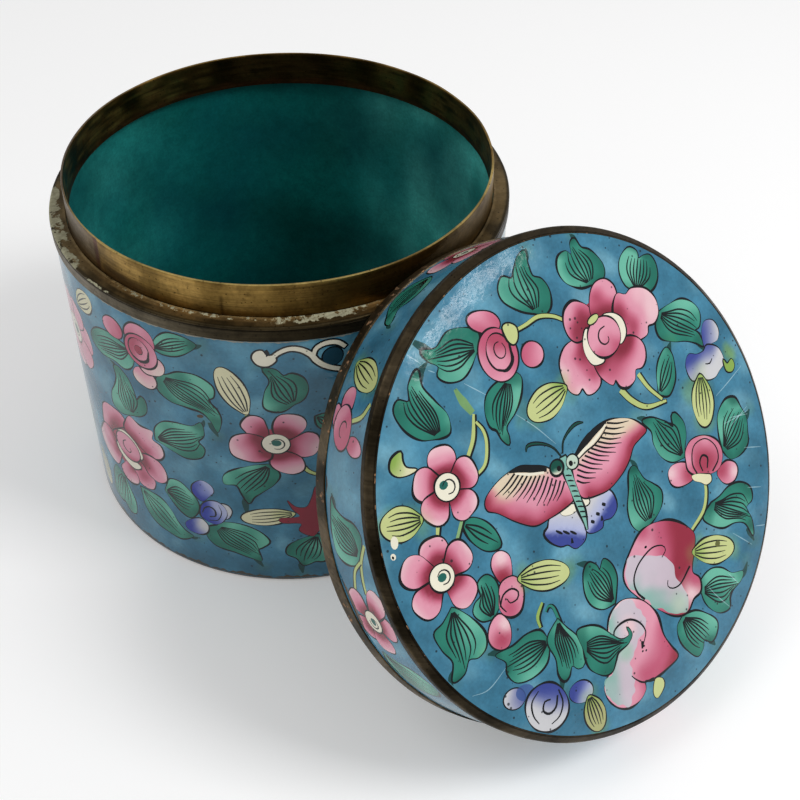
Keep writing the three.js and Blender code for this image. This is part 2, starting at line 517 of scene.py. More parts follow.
def blended(base, *spots):
    """A paint with soft spots of other paints: each spot is a place, a reach and a paint."""

    def tone(places):
        colour = base(places) if callable(base) else base
        uneven = 0.14 * waver(places, 4.5, 11)
        for centre, reach, paint in spots:
            far = np.linalg.norm(places - np.asarray(centre, float), axis=-1) / reach + uneven
            colour = mix(colour, paint, 1 - ramp(far, 0.1, 1.1))
        return colour

    return tone


def banded(start, end, paints, seed):
    """Several paints one after another from `start` to `end`, each flowing into the next."""
    start, end = np.asarray(start, float), np.asarray(end, float)
    run = end - start

    def tone(places):
        share = (places - start) @ run / float(run @ run) + 0.07 * waver(places, 6.0, seed)
        level = np.clip(share, 0, 1) * (len(paints) - 1)
        colour = paints[0]
        for i, paint in enumerate(paints[1:]):
            colour = mix(colour, paint, ramp(level, i, i + 1))
        return colour

    return tone


def ragged(points, seed):
    """A closed outline with a worn, uneven edge."""
    outline = smooth(points, True, 0.45)
    return outline + 0.4 * along(outline, True) * waver(outline, 1.5, seed)[:, None]


def spaced(points, count):
    """Evenly spaced places along a smooth curve through the points."""
    path = smooth(points, False, 0.3)
    far = np.concatenate([[0], np.cumsum(np.linalg.norm(np.diff(path, axis=0), axis=1))])
    places = np.linspace(0, far[-1], count)
    return np.stack([np.interp(places, far, path[:, 0]), np.interp(places, far, path[:, 1])], 1)


def peony(chart, centre, petals, crescents, reach, bud_size=3.9, spiral_start=70):
    """A full flower: scalloped petals round a rolled bud with cream folds."""
    heart = chart.move([centre])[0]
    chart.fill(oval(heart, 0.56 * reach, 0.56 * reach, 0, chart.step), mix(CRIMSON, ROSE, 0.3))
    for points in petals:
        tone = flower_tone(heart, reach, chart.next_seed(), 0.88)
        shape(chart, points, tone)
    for points in crescents:
        shape(chart, points, CREAM, 0.34)
    tone = sided_tone(ROSE, PINK, heart + [1, -bud_size], heart + [0, 0.5], chart.next_seed(), 3.0)
    chart.inked(oval(heart, bud_size, bud_size * 0.92, 0, chart.step), tone, 0.36)
    spiral(chart, heart + [0.2, -0.3], bud_size * 0.55, spiral_start, 0.8, 0.4)


def butterfly(chart):
    """A moth with spread pink wings, drawn a little left of the lid's middle line."""
    lower_left = [(-12.2, -0.9), (-13.1, -2.1), (-14.3, -2.8), (-13.6, -4.8), (-12.1, -6.4), (-10.6, -6.9),
        (-9.3, -8.4), (-7.1, -8.2), (-6, -6.9), (-5.2, -4.1), (-5.2, -1), (-8, 0), (-10, 0)]
    lower_right = [(-4.8, -1), (-0.9, -1.4), (2.1, -2.6), (2.8, -4.8), (2.2, -6.6), (0.5, -7.4), (-1.4, -7),
        (-2.2, -8), (-4.3, -7.9), (-5.7, -6.8), (-5.2, -4)]
    blues = (GREY_WHITE, mix(LILAC, GREY_WHITE, 0.4), LILAC, COBALT, COBALT)
    shape(chart, lower_left, banded((-7.4, -2), (-10.8, -7.6), blues, 8), 0.34)
    shape(chart, lower_right, banded((-1.8, -2.6), (-0.2, -7.2), blues, 8), 0.34)
    chart.inked(oval((-7.6, -1.5), 2.0, 0.9, -12), CREAM, 0.3)
    chart.inked(oval((-3.8, -1.9), 1.1, 0.7, -20), CREAM, 0.3)
    for x, y in ((-11.4, -3.9), (-10, -4.7), (-8.6, -5.5)):
        chart.line([(x - 0.5, y + 0.5), (x + 0.6, y - 0.7)], (0.3, 0.6, 0.3))
    for x, y in ((-0.1, -4.3), (-2.1, -5.2), (-3.8, -5.9)):
        chart.line([(x - 0.3, y + 0.2), (x + 0.4, y - 0.4)], (0.5, 0.7, 0.5))
    for x, y in ((-9.6, -7.2), (-1.7, -6.9)):
        chart.line([(x, y), (x + 0.3, y + 0.9)], (0.7, 0.3))
    left = [(-23, 8.5), (-23.3, 6.9), (-21.6, 5.4), (-19, 2.5), (-16.7, 0.4), (-14.9, -0.5), (-12.1, -0.7),
        (-9.2, -0.7), (-5.8, -0.2), (-5.6, 2), (-5.7, 4.6), (-7.4, 6), (-9, 7.8), (-11.6, 9.4),
        (-14.2, 10.5), (-17.8, 10.5), (-21, 9.7)]
    right = [(-3.7, -1), (-4.1, 1.8), (-3.6, 4.4), (-1.9, 6.4), (0.8, 8), (3.4, 8.9), (6.4, 8.9),
        (9.6, 8.3), (12.6, 6.8), (14.6, 4.5), (15.2, 3.1), (13.2, 2.5), (11.1, 1.9), (9, 0.1), (6.3, -1.4),
        (2.8, -2.4), (0, -2.2)]

    def wing_tone(first, second, rim):
        rim = smooth(rim, False, 0.6)

        def tone(places):
            height = (places - np.array(first)) @ unit([second[1] - first[1], first[0] - second[0]])
            height = height + 0.5 * waver(places, 4.0, 5)
            colour = mix(mix(PINK, BUD_CREAM, 0.8), PINK, ramp(height, 1.4, 4.6))
            far = np.linalg.norm(places[..., None, :] - rim, axis=-1).min(-1) + 0.3 * waver(places, 3.0, 6)
            colour = mix(colour, ROSE, 0.8 * (1 - ramp(far, 1.4, 4.2)))
            return mix(colour, CRIMSON, 0.95 * (1 - ramp(far, 0.3, 2.1)))

        return tone

    left_rim = [(-23.6, 8.2), (-22.6, 5.8), (-19, 2.3), (-15.4, -0.6), (-11.8, -1.0), (-8, -0.8)]
    right_rim = [(15.4, 3), (11.4, 1.9), (9, -0.1), (6, -1.8), (2.4, -2.6), (-2, -1.8)]
    shape(chart, left, wing_tone((-23, 9.4), (-6, 9.2), left_rim), 0.3)
    shape(chart, right, wing_tone((-2, 8.4), (15, 7.2), right_rim), 0.3)
    starts = spaced([(-15.4, 9.9), (-12.5, 7.9), (-9.8, 6.6), (-7.7, 4.7), (-6.2, 3.6)], 13)
    ends = spaced([(-20.9, 8.2), (-18.6, 6.4), (-15.4, 4.1), (-12.6, 1.8), (-9.4, 1.2)], 13)
    for i, (near, far) in enumerate(zip(starts, ends)):
        far = far + (near - far) * (0.12 if i % 2 else 0)
        chart.line([near, (near + far) / 2 + [0.1, -0.2], far], (0.4, 0.36, 0.12))
    starts = spaced([(7.3, 8.6), (4.4, 6.6), (0.6, 5.8), (-2.3, 4.5), (-3.7, 2.4)], 14)
    ends = spaced([(12.2, 6.6), (10.2, 4.6), (7.3, 3), (4.4, 2), (1.5, 1.2), (-0.6, 0.4)], 14)
    for i, (near, far) in enumerate(zip(starts, ends)):
        far = far + (near - far) * (0.14 if i % 2 else 0)
        chart.line([near, (near + far) / 2 + [-0.2, -0.2], far], (0.4, 0.36, 0.12))
    chart.line([(-16.4, 10.6), (-13.6, 9.9), (-11.2, 8.6), (-8.8, 7.3)], (0.3, 1.3, 1.5, 0.8))
    chart.line([(-15.3, 9.8), (-12.6, 8.3), (-9.6, 7.1)], (0.3, 0.5, 0.4), CREAM, 1.0)
    chart.line([(-2, 6.4), (0.2, 7.4), (2.6, 8.2), (5.2, 8.6), (7.2, 8.7)], (0.9, 1.4, 1.5, 1.0, 0.3))
    chart.line([(-1.8, 6), (0.6, 6.6), (2.6, 6.9), (4.8, 7.6), (6.9, 8.5)], (0.5, 0.7, 0.6, 0.3), CREAM,
        1.0)
    chart.line([(-2.2, 5.5), (0.6, 6.1), (2.8, 6.3), (5, 7), (7.1, 8.1)], (0.2, 0.36, 0.36, 0.2))
    body = stroke([(-4.6, 7.6), (-4.9, 4.5), (-5, 0.4), (-5.1, -3.6), (-5.5, -6.6)],
        [1.3, 1.7, 1.6, 1.2, 0.2])
    chart.inked(body, MINT, 0.36)
    for i in range(9):
        y = 4.2 - 1.05 * i
        chart.line([(-5.6, y + 0.2), (-4.9, y - 0.1), (-4.3, y - 0.5)], (0.2, 0.34, 0.2))
    eye = sided_tone(CREAM, LEAF_DEEP, (-6.8, 5.2), (-6.6, 6.4), 2)
    chart.inked(oval((-6.7, 6.6), 1.35, 1.25), eye, 0.34)
    chart.inked(oval((-3.1, 5.9), 1.3, 1.25), mix(MINT, CREAM, 0.6), 0.34)
    chart.fill(oval((-6.3, 6.2), 0.5, 0.55), INK)
    chart.fill(oval((-3.5, 5.8), 0.5, 0.55), INK)
    feelers = [[(-4.9, 7.8), (-5.7, 9.9), (-7.2, 11.5), (-9.4, 12.7), (-10.9, 12.9), (-11.5, 12.1)],
        [(-4.4, 8.2), (-3.2, 10.2), (-0.8, 11.4), (1, 11.6), (2.4, 11.1)]]
    for points in feelers:
        chart.line(points, (0.4, 0.45, 0.5, 0.6, 0.75, 0.85, 0.8, 0.3))
        chart.line(points, (0.05, 0.05, 0.1, 0.15, 0.25, 0.35, 0.3, 0.05), LEAF_DEEP, 0.9)


def peaches(chart):
    """Two ripe peaches, dark red at the tip and pale green and grey at the stalk."""
    upper = [(17.2, -19.6), (13.8, -15.6), (9.5, -13.4), (5.6, -13.3), (1.6, -15.4), (-1.4, -18),
        (-1.8, -20.8), (-0.2, -24), (2.2, -27.4), (4.6, -30.2), (7, -32), (9.4, -32.4), (11.6, -31),
        (13.8, -30.6), (14.6, -28.4), (13.6, -26.6), (14.2, -25), (16, -22.6)]
    tone = banded((15.4, -21.4), (2, -15), (CRIMSON, CRIMSON, ROSE, PINK, PINK), 91)
    shape(chart, upper, blended(tone, ((11.4, -30), 4.6, BLUSH), ((14, -27.4), 3, ROSE),
        ((6, -13), 3, ROSE)))
    bloom = [(0.9, -16), (3.2, -16.8), (5.8, -18.4), (8.7, -20.3), (9.9, -22.6), (9.6, -25), (10.6, -28),
        (10.1, -31.3), (9, -32.1), (7, -31.7), (4.7, -29.9), (2.3, -27.1), (0, -23.8), (-1.5, -20.8),
        (-1.1, -18.2)]
    band = sided_tone(MINT, GREY_LILAC, (0.2, -25.4), (4.2, -21.4), 93, 3.0)
    spots = [((-0.6, -19.4), 2.4, GREY_LILAC), ((8.4, -30.2), 3.4, mix(MINT, CREAM, 0.5))]
    chart.fill(ragged(bloom, 95), blended(band, *spots), 0.92)
    chart.line([(0.8, -24.9), (-0.2, -23), (-0.2, -21), (0.8, -19.4), (3, -18), (6.5, -17.2), (9, -18),
        (9.4, -19.2), (8, -20)], (0.5, 0.36, 0.34, 0.2))
    chart.line([(13.5, -25), (10, -26.8), (7.8, -26.6), (6.9, -25.6), (7.4, -24.6)], (0.5, 0.34, 0.2))
    chart.fill(oval((5.3, -16.3), 0.36, 0.26), INK)
    lower = [(-5, -22.3), (-2.4, -22.9), (0.4, -25.2), (1.9, -28.6), (1.8, -33), (2.6, -36.4), (3.3, -38.9),
        (0, -39.4), (-3.8, -39.3), (-5.8, -38.6), (-6.2, -40.2), (-8.2, -41.3), (-11, -41), (-13.4, -39.4),
        (-14.8, -36.4), (-14.4, -34), (-11.6, -32.4), (-9.8, -30.2), (-9.8, -26.6), (-8, -23.6)]
    tone = banded((-6, -26), (2.6, -38), (BLUSH, PINK, PINK, ROSE, CRIMSON), 92)
    shape(chart, lower, blended(tone, ((-9.6, -38.6), 4.6, PINK), ((-3.4, -39), 3, ROSE)))
    bloom = [(-5, -22.6), (-2.2, -23.4), (-1.2, -26.6), (-1, -29.2), (-3.6, -30.9), (-6.3, -32.7),
        (-7.6, -34.9), (-8, -37.7), (-9.3, -39.7), (-11, -40.7), (-13.2, -39.2), (-14.5, -36.4),
        (-14.2, -34.1), (-11.4, -32.5), (-9.7, -30.2), (-9.6, -26.6), (-7.9, -23.8)]
    band = sided_tone(MINT, GREY_LILAC, (-10.4, -25.6), (-6, -27), 94, 3.0)
    spots = [((-9.4, -37.4), 5, GREY_LILAC), ((-14.2, -35.4), 4.0, mix(MINT, GREY_LILAC, 0.3)),
        ((-4.6, -27.6), 2.6, BLUSH), ((-7.6, -31.2), 2.2, mix(MINT, CREAM, 0.3))]
    chart.fill(ragged(bloom, 96), blended(band, *spots), 0.9)
    for x, y in ((-3.2, -32.6), (-3.9, -33.3), (-3.1, -33.6)):
        chart.fill(oval((x, y), 0.26, 0.2, 20, 0.2), INK, 0.85)
    hook = [(-8.8, -27.8), (-8.3, -26.4), (-6.4, -25.9), (-4, -26.4), (-2.2, -28.2), (-1.7, -30.4),
        (-3, -32)]
    chart.line(hook, (0.3, 0.5, 0.42, 0.2))
    chart.line([(-3.1, -31.6), (-3.8, -32.8)], (0.9, 0.4))
    chart.line([(-8.2, -36), (-7.4, -37.4), (-6, -38.8), (-3.6, -39.3)], (0.2, 0.4, 0.3))


def hooded_flower(chart):
    """A flower seen from the side: a hood with an arched fold, a lobe at each side and a pale cup."""
    left = [(22.1, -7.5), (20.1, -6.2), (17.9, -5.8), (16.5, -6.7), (16.4, -8.7), (17.6, -10),
        (19.8, -10.6), (21.8, -10.5), (22.8, -9.6), (22.6, -8.4)]
    right = [(29.6, -11.7), (31.5, -11.7), (33.2, -13), (33.2, -14.6), (31.7, -15.8), (29.8, -15.7),
        (28.5, -14.7), (27.9, -12.9), (28.6, -11.9)]
    hood = [(21.6, -7), (22.4, -4.9), (24.7, -3.7), (28.1, -4.4), (30.7, -6.9), (31, -9.5), (29.8, -11.3),
        (28, -12), (25.2, -11.4), (22.7, -10), (21.5, -8.5)]
    cup = [(21.7, -9.9), (23.2, -10.2), (25.2, -11.3), (26.2, -12), (25.8, -13.1), (24.3, -13.1),
        (23.3, -12.1), (21.9, -11)]
    spots = (((21.6, -9.4), 3.4, mix(ROSE, CRIMSON, 0.5)), ((17, -7), 2, BLUSH))
    shape(chart, left, blended(PINK, *spots), 0.32)
    spots = (((28.8, -12.4), 3.6, mix(ROSE, CRIMSON, 0.4)), ((32.6, -14.6), 2, BLUSH))
    shape(chart, right, blended(PINK, *spots), 0.32)
    spots = (((25.9, -8.8), 4.6, mix(ROSE, CRIMSON, 0.6)), ((28.2, -5), 2.2, PINK), ((22.2, -6.6), 2, PINK))
    shape(chart, hood, blended(mix(PINK, ROSE, 0.45), *spots), 0.38)
    chart.line([(23.2, -10.4), (22.9, -7.8), (24.7, -5), (28, -5), (29.9, -7.5), (29.5, -10.1),
        (27, -11.6)], (0.4, 0.26, 0.26, 0.4))
    chart.line([(24.7, -10.4), (24.7, -8.6), (25.9, -7.6), (27, -8.6), (26, -10.4)], (0.3, 0.4, 0.5, 0.3))
    shape(chart, cup, BUD_CREAM, 0.26)


def side_flower(chart):
    """A narrow flower seen from the side: one petal up, one down and a rolled one between."""
    top = [(-23.9, -0.8), (-22.8, -2.4), (-23.3, -4.6), (-24.3, -6.2), (-25.7, -6.6), (-26.5, -5.4),
        (-26.9, -3.8), (-26.8, -2), (-25.6, -0.6)]
    low = [(-28.8, -10.6), (-28, -12.6), (-28.4, -14.7), (-29.6, -16.2), (-31.3, -16.1), (-32.6, -14.8),
        (-32.8, -13), (-31.7, -11.3), (-30.1, -10.4)]
    middle = [(-25.5, -5.6), (-23.6, -6), (-22.7, -7.7), (-23.2, -10), (-24.8, -11.9), (-26.6, -12.1),
        (-28.2, -11), (-28.6, -9.4), (-27.7, -7.4), (-26.8, -6.1)]
    spots = (((-25.8, -5.6), 3.4, CRIMSON), ((-24.4, -1.6), 2.2, BLUSH))
    shape(chart, top, blended(PINK, *spots), 0.3)
    spots = (((-30.6, -14.6), 3.4, mix(ROSE, CRIMSON, 0.4)), ((-28.8, -12.4), 2.2, BLUSH))
    shape(chart, low, blended(PINK, *spots), 0.3)
    spots = (((-26.8, -10.6), 2.6, ROSE), ((-24, -8.4), 2.4, PINK))
    shape(chart, middle, blended(mix(PINK, ROSE, 0.35), *spots), 0.34)
    chart.line([(-28.4, -9.4), (-26.9, -7.8), (-24.9, -7.7), (-23.9, -8.9), (-24.6, -9.9), (-26.2, -9.8),
        (-26.5, -8.8)], (0.3, 0.4, 0.36, 0.2))
    chart.line([(-27.6, -7.4), (-28.2, -9.2), (-27.6, -10.8)], (0.2, 0.36, 0.2))


def lid_washes(chart):
    """Paler and deeper clouds in the lid's blue, and a few green touches."""
    pale_places = [((-22.5, -3), 6), ((-13, -17), 5), ((-33, 24), 7), ((-38, -12), 6), ((12, 4), 5),
        ((20, -22), 6), ((-2, 14), 5), ((33, 15), 4), ((27, 1), 6), ((-20, 38), 7), ((-8, 40), 7),
        ((5, 42), 5)]
    for place, reach in pale_places:
        chart.wash(place, reach, GROUND_PALE, 0.42)
    deep_places = [((-15, -3), 6), ((-27, -17), 6), ((38, -18), 8), ((30, -32), 9), ((-24, -38), 8),
        ((0, -43), 8), ((36, 25), 7), ((-20, 20), 5), ((8, -7), 5), ((0, 24), 5), ((-41, 5), 4),
        ((33, -29), 13), ((40, -12), 9), ((18, -41), 9), ((39, 14), 8), ((-28, -34), 9)]
    for place, reach in deep_places:
        chart.wash(place, reach, GROUND_DEEP, 0.42)
    chart.line([(-20, 28.4), (-19.6, 26.2), (-18.6, 23.2)], (0.7, 1.7, 1.2), BUD_GREEN, 0.7)
    chart.wash((41.8, 6.8), 3.0, BUD_GREEN, 0.6)
    chart.wash((29, 4.5), 4.0, BUD_GREEN, 0.35)


def lid_leaves(chart):
    """The wreath of leaves round the lid's top."""
    leaf(chart, [(-12.6, 32.6), (-15.3, 30.5), (-18, 29.4), (-20.6, 30.1), (-22, 31.8), (-21.2, 33.2),
        (-22.6, 34.9), (-22.9, 36.9), (-20.2, 36.2), (-16.8, 37.7), (-13.6, 37), (-11.4, 35)], 9,
        (-24.4, 40), 0.1)
    leaf(chart, [(-26.6, 22.4), (-29.6, 23.6), (-31.8, 26.6), (-32.3, 29.8), (-30.8, 31.4), (-29, 30.4),
        (-27.8, 32.8), (-25.2, 34.4), (-25.7, 31.5), (-24.6, 28.3), (-23.3, 25.2), (-24.2, 22.4)], 10,
        (-22.8, 34.8), 0.0, -1)
    leaf(chart, [(-9.4, 25.4), (-12, 25.6), (-14.6, 24.6), (-16.2, 22.3), (-16.3, 19.6), (-15.3, 18.4),
        (-15.1, 16.4), (-14.2, 15), (-13.6, 16.2), (-13.3, 18), (-10.6, 19.4), (-8.2, 21.6), (-6.6, 24.2),
        (-7.4, 25.6)], 9)
    leaf(chart, [(1.5, 33.1), (-1.2, 34.8), (-3.8, 37.6), (-3.9, 40), (-2.2, 41.6), (-0.4, 40.6), (1, 42),
        (2.6, 43.6), (4.6, 43.9), (4, 41.6), (3.9, 39.3), (5.5, 38), (6.1, 35.6), (5, 33), (3.2, 32.2)], 8,
        (5, 44.2), -0.1)
    leaf(chart, [(15.2, 32.8), (12.8, 33.4), (10.3, 35.2), (9.7, 37.8), (10.9, 40), (13, 40.4),
        (13.9, 39.3), (14.6, 41.2), (16, 41.6), (16.6, 39.6), (18.4, 38.2), (19.8, 35.4), (19.3, 33.2),
        (17.4, 32.4)], 9, (15.6, 43), 0.0)
    leaf(chart, [(25.2, 27.6), (23.2, 29.2), (22.9, 32), (24.4, 34.4), (27.2, 35.3), (28.8, 34),
        (28.6, 32.6), (30, 32.6), (31.6, 32), (32.1, 30), (31.3, 27.8), (29.4, 26.4), (27.2, 26.2)], 10,
        None, 0.5)
    leaf(chart, [(28, 21.6), (26.4, 19.4), (26.6, 17), (29, 15.2), (32, 14), (34.4, 12.6), (36, 11.2),
        (36, 13.4), (35.4, 14.8), (36.8, 15), (38.2, 17.2), (37.4, 19.6), (34.6, 21.5), (31, 21.9)], 9,
        (36.2, 10), 0.1)
    leaf(chart, [(21.2, 7.8), (22.2, 11), (24.2, 13.6), (26.8, 14.9), (27.6, 13), (27, 10.4), (25.8, 8.2),
        (23.4, 6.6)], 6, (28.4, 15.4), 0.2)
    leaf(chart, [(21.6, -5.8), (18.6, -5.2), (16.4, -3), (15.8, 0), (16.4, 2.4), (15.2, 5), (17.6, 4.5),
        (20, 2.6), (21.6, 0.6), (22.2, 2.6), (23.2, 2.8), (24.4, 0.4), (24, -2), (22.6, -4)], 8,
        (14.2, 6.2), -0.1)
    leaf(chart, [(31.4, -9.2), (32, -5.6), (33.4, -2.4), (36.4, -0.9), (39, -1.6), (39.8, -4), (40.4, -6.4),
        (39.4, -9), (38.2, -11.2), (35, -12.2), (32.4, -11.6)], 10, (42, -5.4), 0.0)
    leaf(chart, [(24, -17), (20.9, -18.4), (22, -20.6), (24.6, -22.6), (28, -23.4), (30.6, -25),
        (31.6, -28.2), (32.6, -25.2), (32.2, -22.4), (34.4, -21.6), (34.8, -19.2), (32.8, -17.2),
        (29.6, -16.4), (26.6, -16.9)], 11, (31.4, -29.4), 0.1, -1)
    leaf(chart, [(8.4, -12.9), (5.6, -13.1), (4.3, -11), (4.8, -7.8), (6.6, -4.8), (8.2, -1.8), (9.8, -1.6),
        (10.6, -4.6), (12, -6.4), (13.4, -8.6), (12.6, -10.8), (10.8, -12.2)], 9, (9.2, 0), 0.0)
    leaf(chart, [(14, -31), (15, -29), (18, -28.4), (20.6, -29.6), (23, -32), (25.8, -33.2), (24.6, -34.6),
        (21.6, -35), (20.2, -36), (19.4, -37.8), (16.6, -37.2), (14.8, -35.2), (14, -33)], 9, (27.8, -32.2),
        0.55)
    leaf(chart, [(7.6, -32.7), (5.6, -33.8), (5.2, -36.4), (6.2, -39.4), (8, -41.8), (9.8, -41.2),
        (10.8, -39.8), (12.4, -41.2), (14.2, -40.4), (15.2, -38.4), (13.6, -35.8), (11, -33.6)], 10,
        (13, -42.4), 0.2)
    leaf(chart, [(-37, -4.4), (-39.6, -6), (-41.8, -6.8), (-41.6, -10), (-40.6, -13), (-42, -16),
        (-39.6, -15.9), (-37.8, -14.2), (-36, -14.8), (-34, -14), (-33.2, -11.6), (-34.4, -8), (-36, -5.4)],
        8, (-43, -17.2), 0.15)
    leaf(chart, [(-30.4, -10.4), (-32.6, -9.6), (-33.6, -7.6), (-32.6, -6.2), (-31, -5.6), (-30.6, -3.4),
        (-28.6, -2.9), (-27.4, -4.4), (-27.4, -6.8), (-28.4, -9)], 8)
    leaf(chart, [(-21.8, -20.2), (-22.8, -17.6), (-25.6, -16.6), (-29, -16.9), (-32.8, -16.4),
        (-31.4, -18.6), (-32, -20.6), (-31, -23), (-27.6, -24), (-24, -23.2)], 9, (-34.2, -15.4), -0.05)
    leaf(chart, [(-5.8, -21.8), (-8.6, -21.4), (-10.6, -19.4), (-11, -16.6), (-9.8, -13.4), (-8, -12.2),
        (-6.6, -13.4), (-6.2, -14.6), (-4.6, -13.3), (-3.4, -15), (-3.3, -17.6), (-4.6, -20)], 10,
        (-10.4, -11), 0.0)
    leaf(chart, [(-28.9, 7.2), (-28.6, 4), (-27, 1.2), (-24.8, 0), (-23.4, 0.4), (-23.5, 3), (-24.8, 5.6),
        (-26.8, 7.3)], 3, None, -0.5)
    shape(chart, [(-34.2, 23.6), (-36.2, 23.2), (-37.2, 21.6), (-36.4, 20.2), (-34.6, 19.6), (-32.8, 19.7),
        (-34.4, 20.8), (-34.6, 22.2)], sided_tone(BUD_GREEN, BUD_CREAM, (-36, 23.4), (-34, 20), 4), 0.34)


def lid_stems(chart):
    """The stems under the flowers, and the leaf that hangs from the last of them."""
    stem(chart, [(-22.9, 16.9), (-20.5, 19.3), (-18.5, 23)], (0.9, 1.0, 0.6))
    stem(chart, [(-18.7, 21.6), (-18, 19.6), (-18.4, 17.2), (-20.3, 14.2), (-23.4, 13.2)],
        (0.6, 0.8, 0.8, 0.6))
    stem(chart, [(-33.2, 9.6), (-34.4, 7.4)], (1.0, 0.7))
    stem(chart, [(-28.8, 7.8), (-31.6, 4.8)], (0.8, 0.8), mix(STEM, LEAF_MID, 0.35))
    stem(chart, [(-5.3, 32.2), (-1.6, 32.2), (1.6, 32.4), (4.6, 31.2), (6.8, 29.4)], (0.7, 0.9, 0.7))
    stem(chart, [(13, 12.6), (14.6, 9.6), (17.4, 7), (22.3, 5.9)], (1.5, 1.2, 0.6))
    stem(chart, [(18.2, 13.4), (19.4, 10), (21.5, 6.6)], (1.1, 0.7))
    stem(chart, [(24.4, -11.6), (23.6, -14.4), (21.4, -17.2), (17, -19.1)], (0.8, 0.9, 0.9, 0.7))
    stem(chart, [(-22.5, -17), (-22.2, -15), (-20.2, -13.2)], (0.6, 0.9, 0.6), mix(STEM, BUD_GREEN, 0.75))
    stem(chart, [(-20.3, -15.1), (-19.4, -14.5), (-18.5, -15.3), (-18.4, -18.6)], (0.4, 0.7, 0.8), LEAF_MID)
    hanging = [(-18.5, -17.6), (-17.5, -20), (-16.3, -22.3), (-15.4, -25.1), (-16.9, -28), (-18.4, -28),
        (-19.4, -26.8), (-20.8, -28.1), (-22, -28.2), (-22.5, -26.5), (-21.9, -23.7), (-22.3, -20.9),
        (-21.8, -19.4), (-19.9, -18.2)]
    leaf(chart, hanging, 10, (-23, -29.6), 0.0)


def lid_blossoms(chart):
    """The open blossoms at the left, and the rose bud and half flower above them."""
    blossom(chart, (-28.8, 14.3), [(-27.2, 21.2), (-34.4, 17.9), (-34.6, 10.6), (-26.2, 7.9), (-22.2, 15)],
        5.6, (-0.5, 0.6))
    blossom(chart, (-36.4, 1.1), [(-35.6, 8.1), (-42.6, 6.2), (-43, -2.6), (-32.4, -5.4), (-29.6, 3.4)],
        5.6, (0, 0))
    rose_bud(chart, (-9.2, 29.9), 4.0, 4.7, ((-9.4, 36.2, 3.4, 1.9, -30), (-2.6, 27, 2.4, 2.2, 0)), 45)
    cup = [(-6.2, 31.4), (-6.2, 33.8), (-4.8, 33.9), (-3.6, 32.6), (-4.2, 30.8), (-5.4, 30.2)]
    chart.inked(smooth(cup), BUD, 0.3)
    side_flower(chart)


def lid_peony(chart):
    """The large peony at the top of the lid."""
    left = [(9.6, 25), (7.4, 25.4), (4.6, 25), (2.4, 23), (1.8, 20.2), (2.2, 17.4), (3.6, 16.2), (5, 16.8),
        (5.6, 15.2), (7.4, 14.9), (9.2, 15.8), (9.7, 18), (9, 21)]
    upper_left = [(13, 27.2), (12.9, 29.4), (11.6, 30.8), (9.8, 31.6), (7.6, 30.8), (6.4, 28.8),
        (6.4, 26.4), (7.6, 24.8), (9.8, 24.8), (11, 26)]
    top = [(13.2, 26.4), (13, 28.6), (14.4, 31.2), (16.4, 32.6), (18.8, 32.4), (20.2, 30.6), (20, 28.4),
        (18.6, 26.2), (16, 25.4)]
    right = [(18.2, 26.4), (20.2, 28.8), (22.2, 27.9), (24, 28.3), (27, 27), (28.6, 24.4), (28.2, 21.8),
        (26.4, 20.4), (24.6, 20.5), (23.6, 19.1), (20.8, 19.2), (18.6, 20.8), (18, 23.4)]
    bottom = [(9.8, 20.2), (9.6, 17.6), (10.6, 15.4), (11.8, 14.2), (12.8, 14.8), (13.4, 13.2), (15, 12.4),
        (17, 12.8), (18, 14.4), (19.6, 14.2), (21.2, 15.4), (21.9, 17.6), (21, 19.6), (18.4, 20.8),
        (14, 20.6)]
    folds = ([(10.6, 26), (8.8, 24), (8.4, 21.6), (9.3, 19.4), (11.8, 19), (12, 21), (11.4, 24)],
        [(15, 26.4), (17.4, 26.2), (19.2, 24.4), (19.2, 22), (18, 20.6), (16.6, 20.4), (15.4, 23)])
    peony(chart, (13.9, 23.0), (left, upper_left, top, right, bottom), folds, 12.5, 3.9)
    chart.inked(oval((12.9, 26.9), 1.4, 0.6, 10), BUD, 0.26)


def lid_blue_flower(chart):
    """The blue and white flower at the lid's right."""
    blue_leaf = [(30, 10), (31.6, 11.3), (33.6, 10.4), (35.6, 10.2), (37, 10.8), (39.6, 9), (39.8, 6),
        (37.6, 5), (36, 4.4), (33.8, 5), (32.6, 7), (30.6, 6.2), (29.8, 7.6)]
    shape(chart, [(36.2, 10.4), (36.8, 13.6), (38.6, 15.2), (40.8, 14.4), (41.4, 12.2), (40.2, 10.6),
        (38, 10.6)], sided_tone(COBALT, GREY_WHITE, (36.4, 13), (41.4, 11.8), 8), 0.24)
    shape(chart, blue_leaf, sided_tone(COBALT, GREY_WHITE, (34, 11.4), (35.4, 6.6), 9), 0.24)
    chart.line([(34.8, 7.8), (36, 7.4), (37, 8)], (0.2, 0.34, 0.2))
    shape(chart, [(39.8, 6.4), (40.4, 5.2), (42, 5.6), (42.2, 4.2), (41, 3.4), (39.6, 4.2)], BUD_GREEN, 0.3)


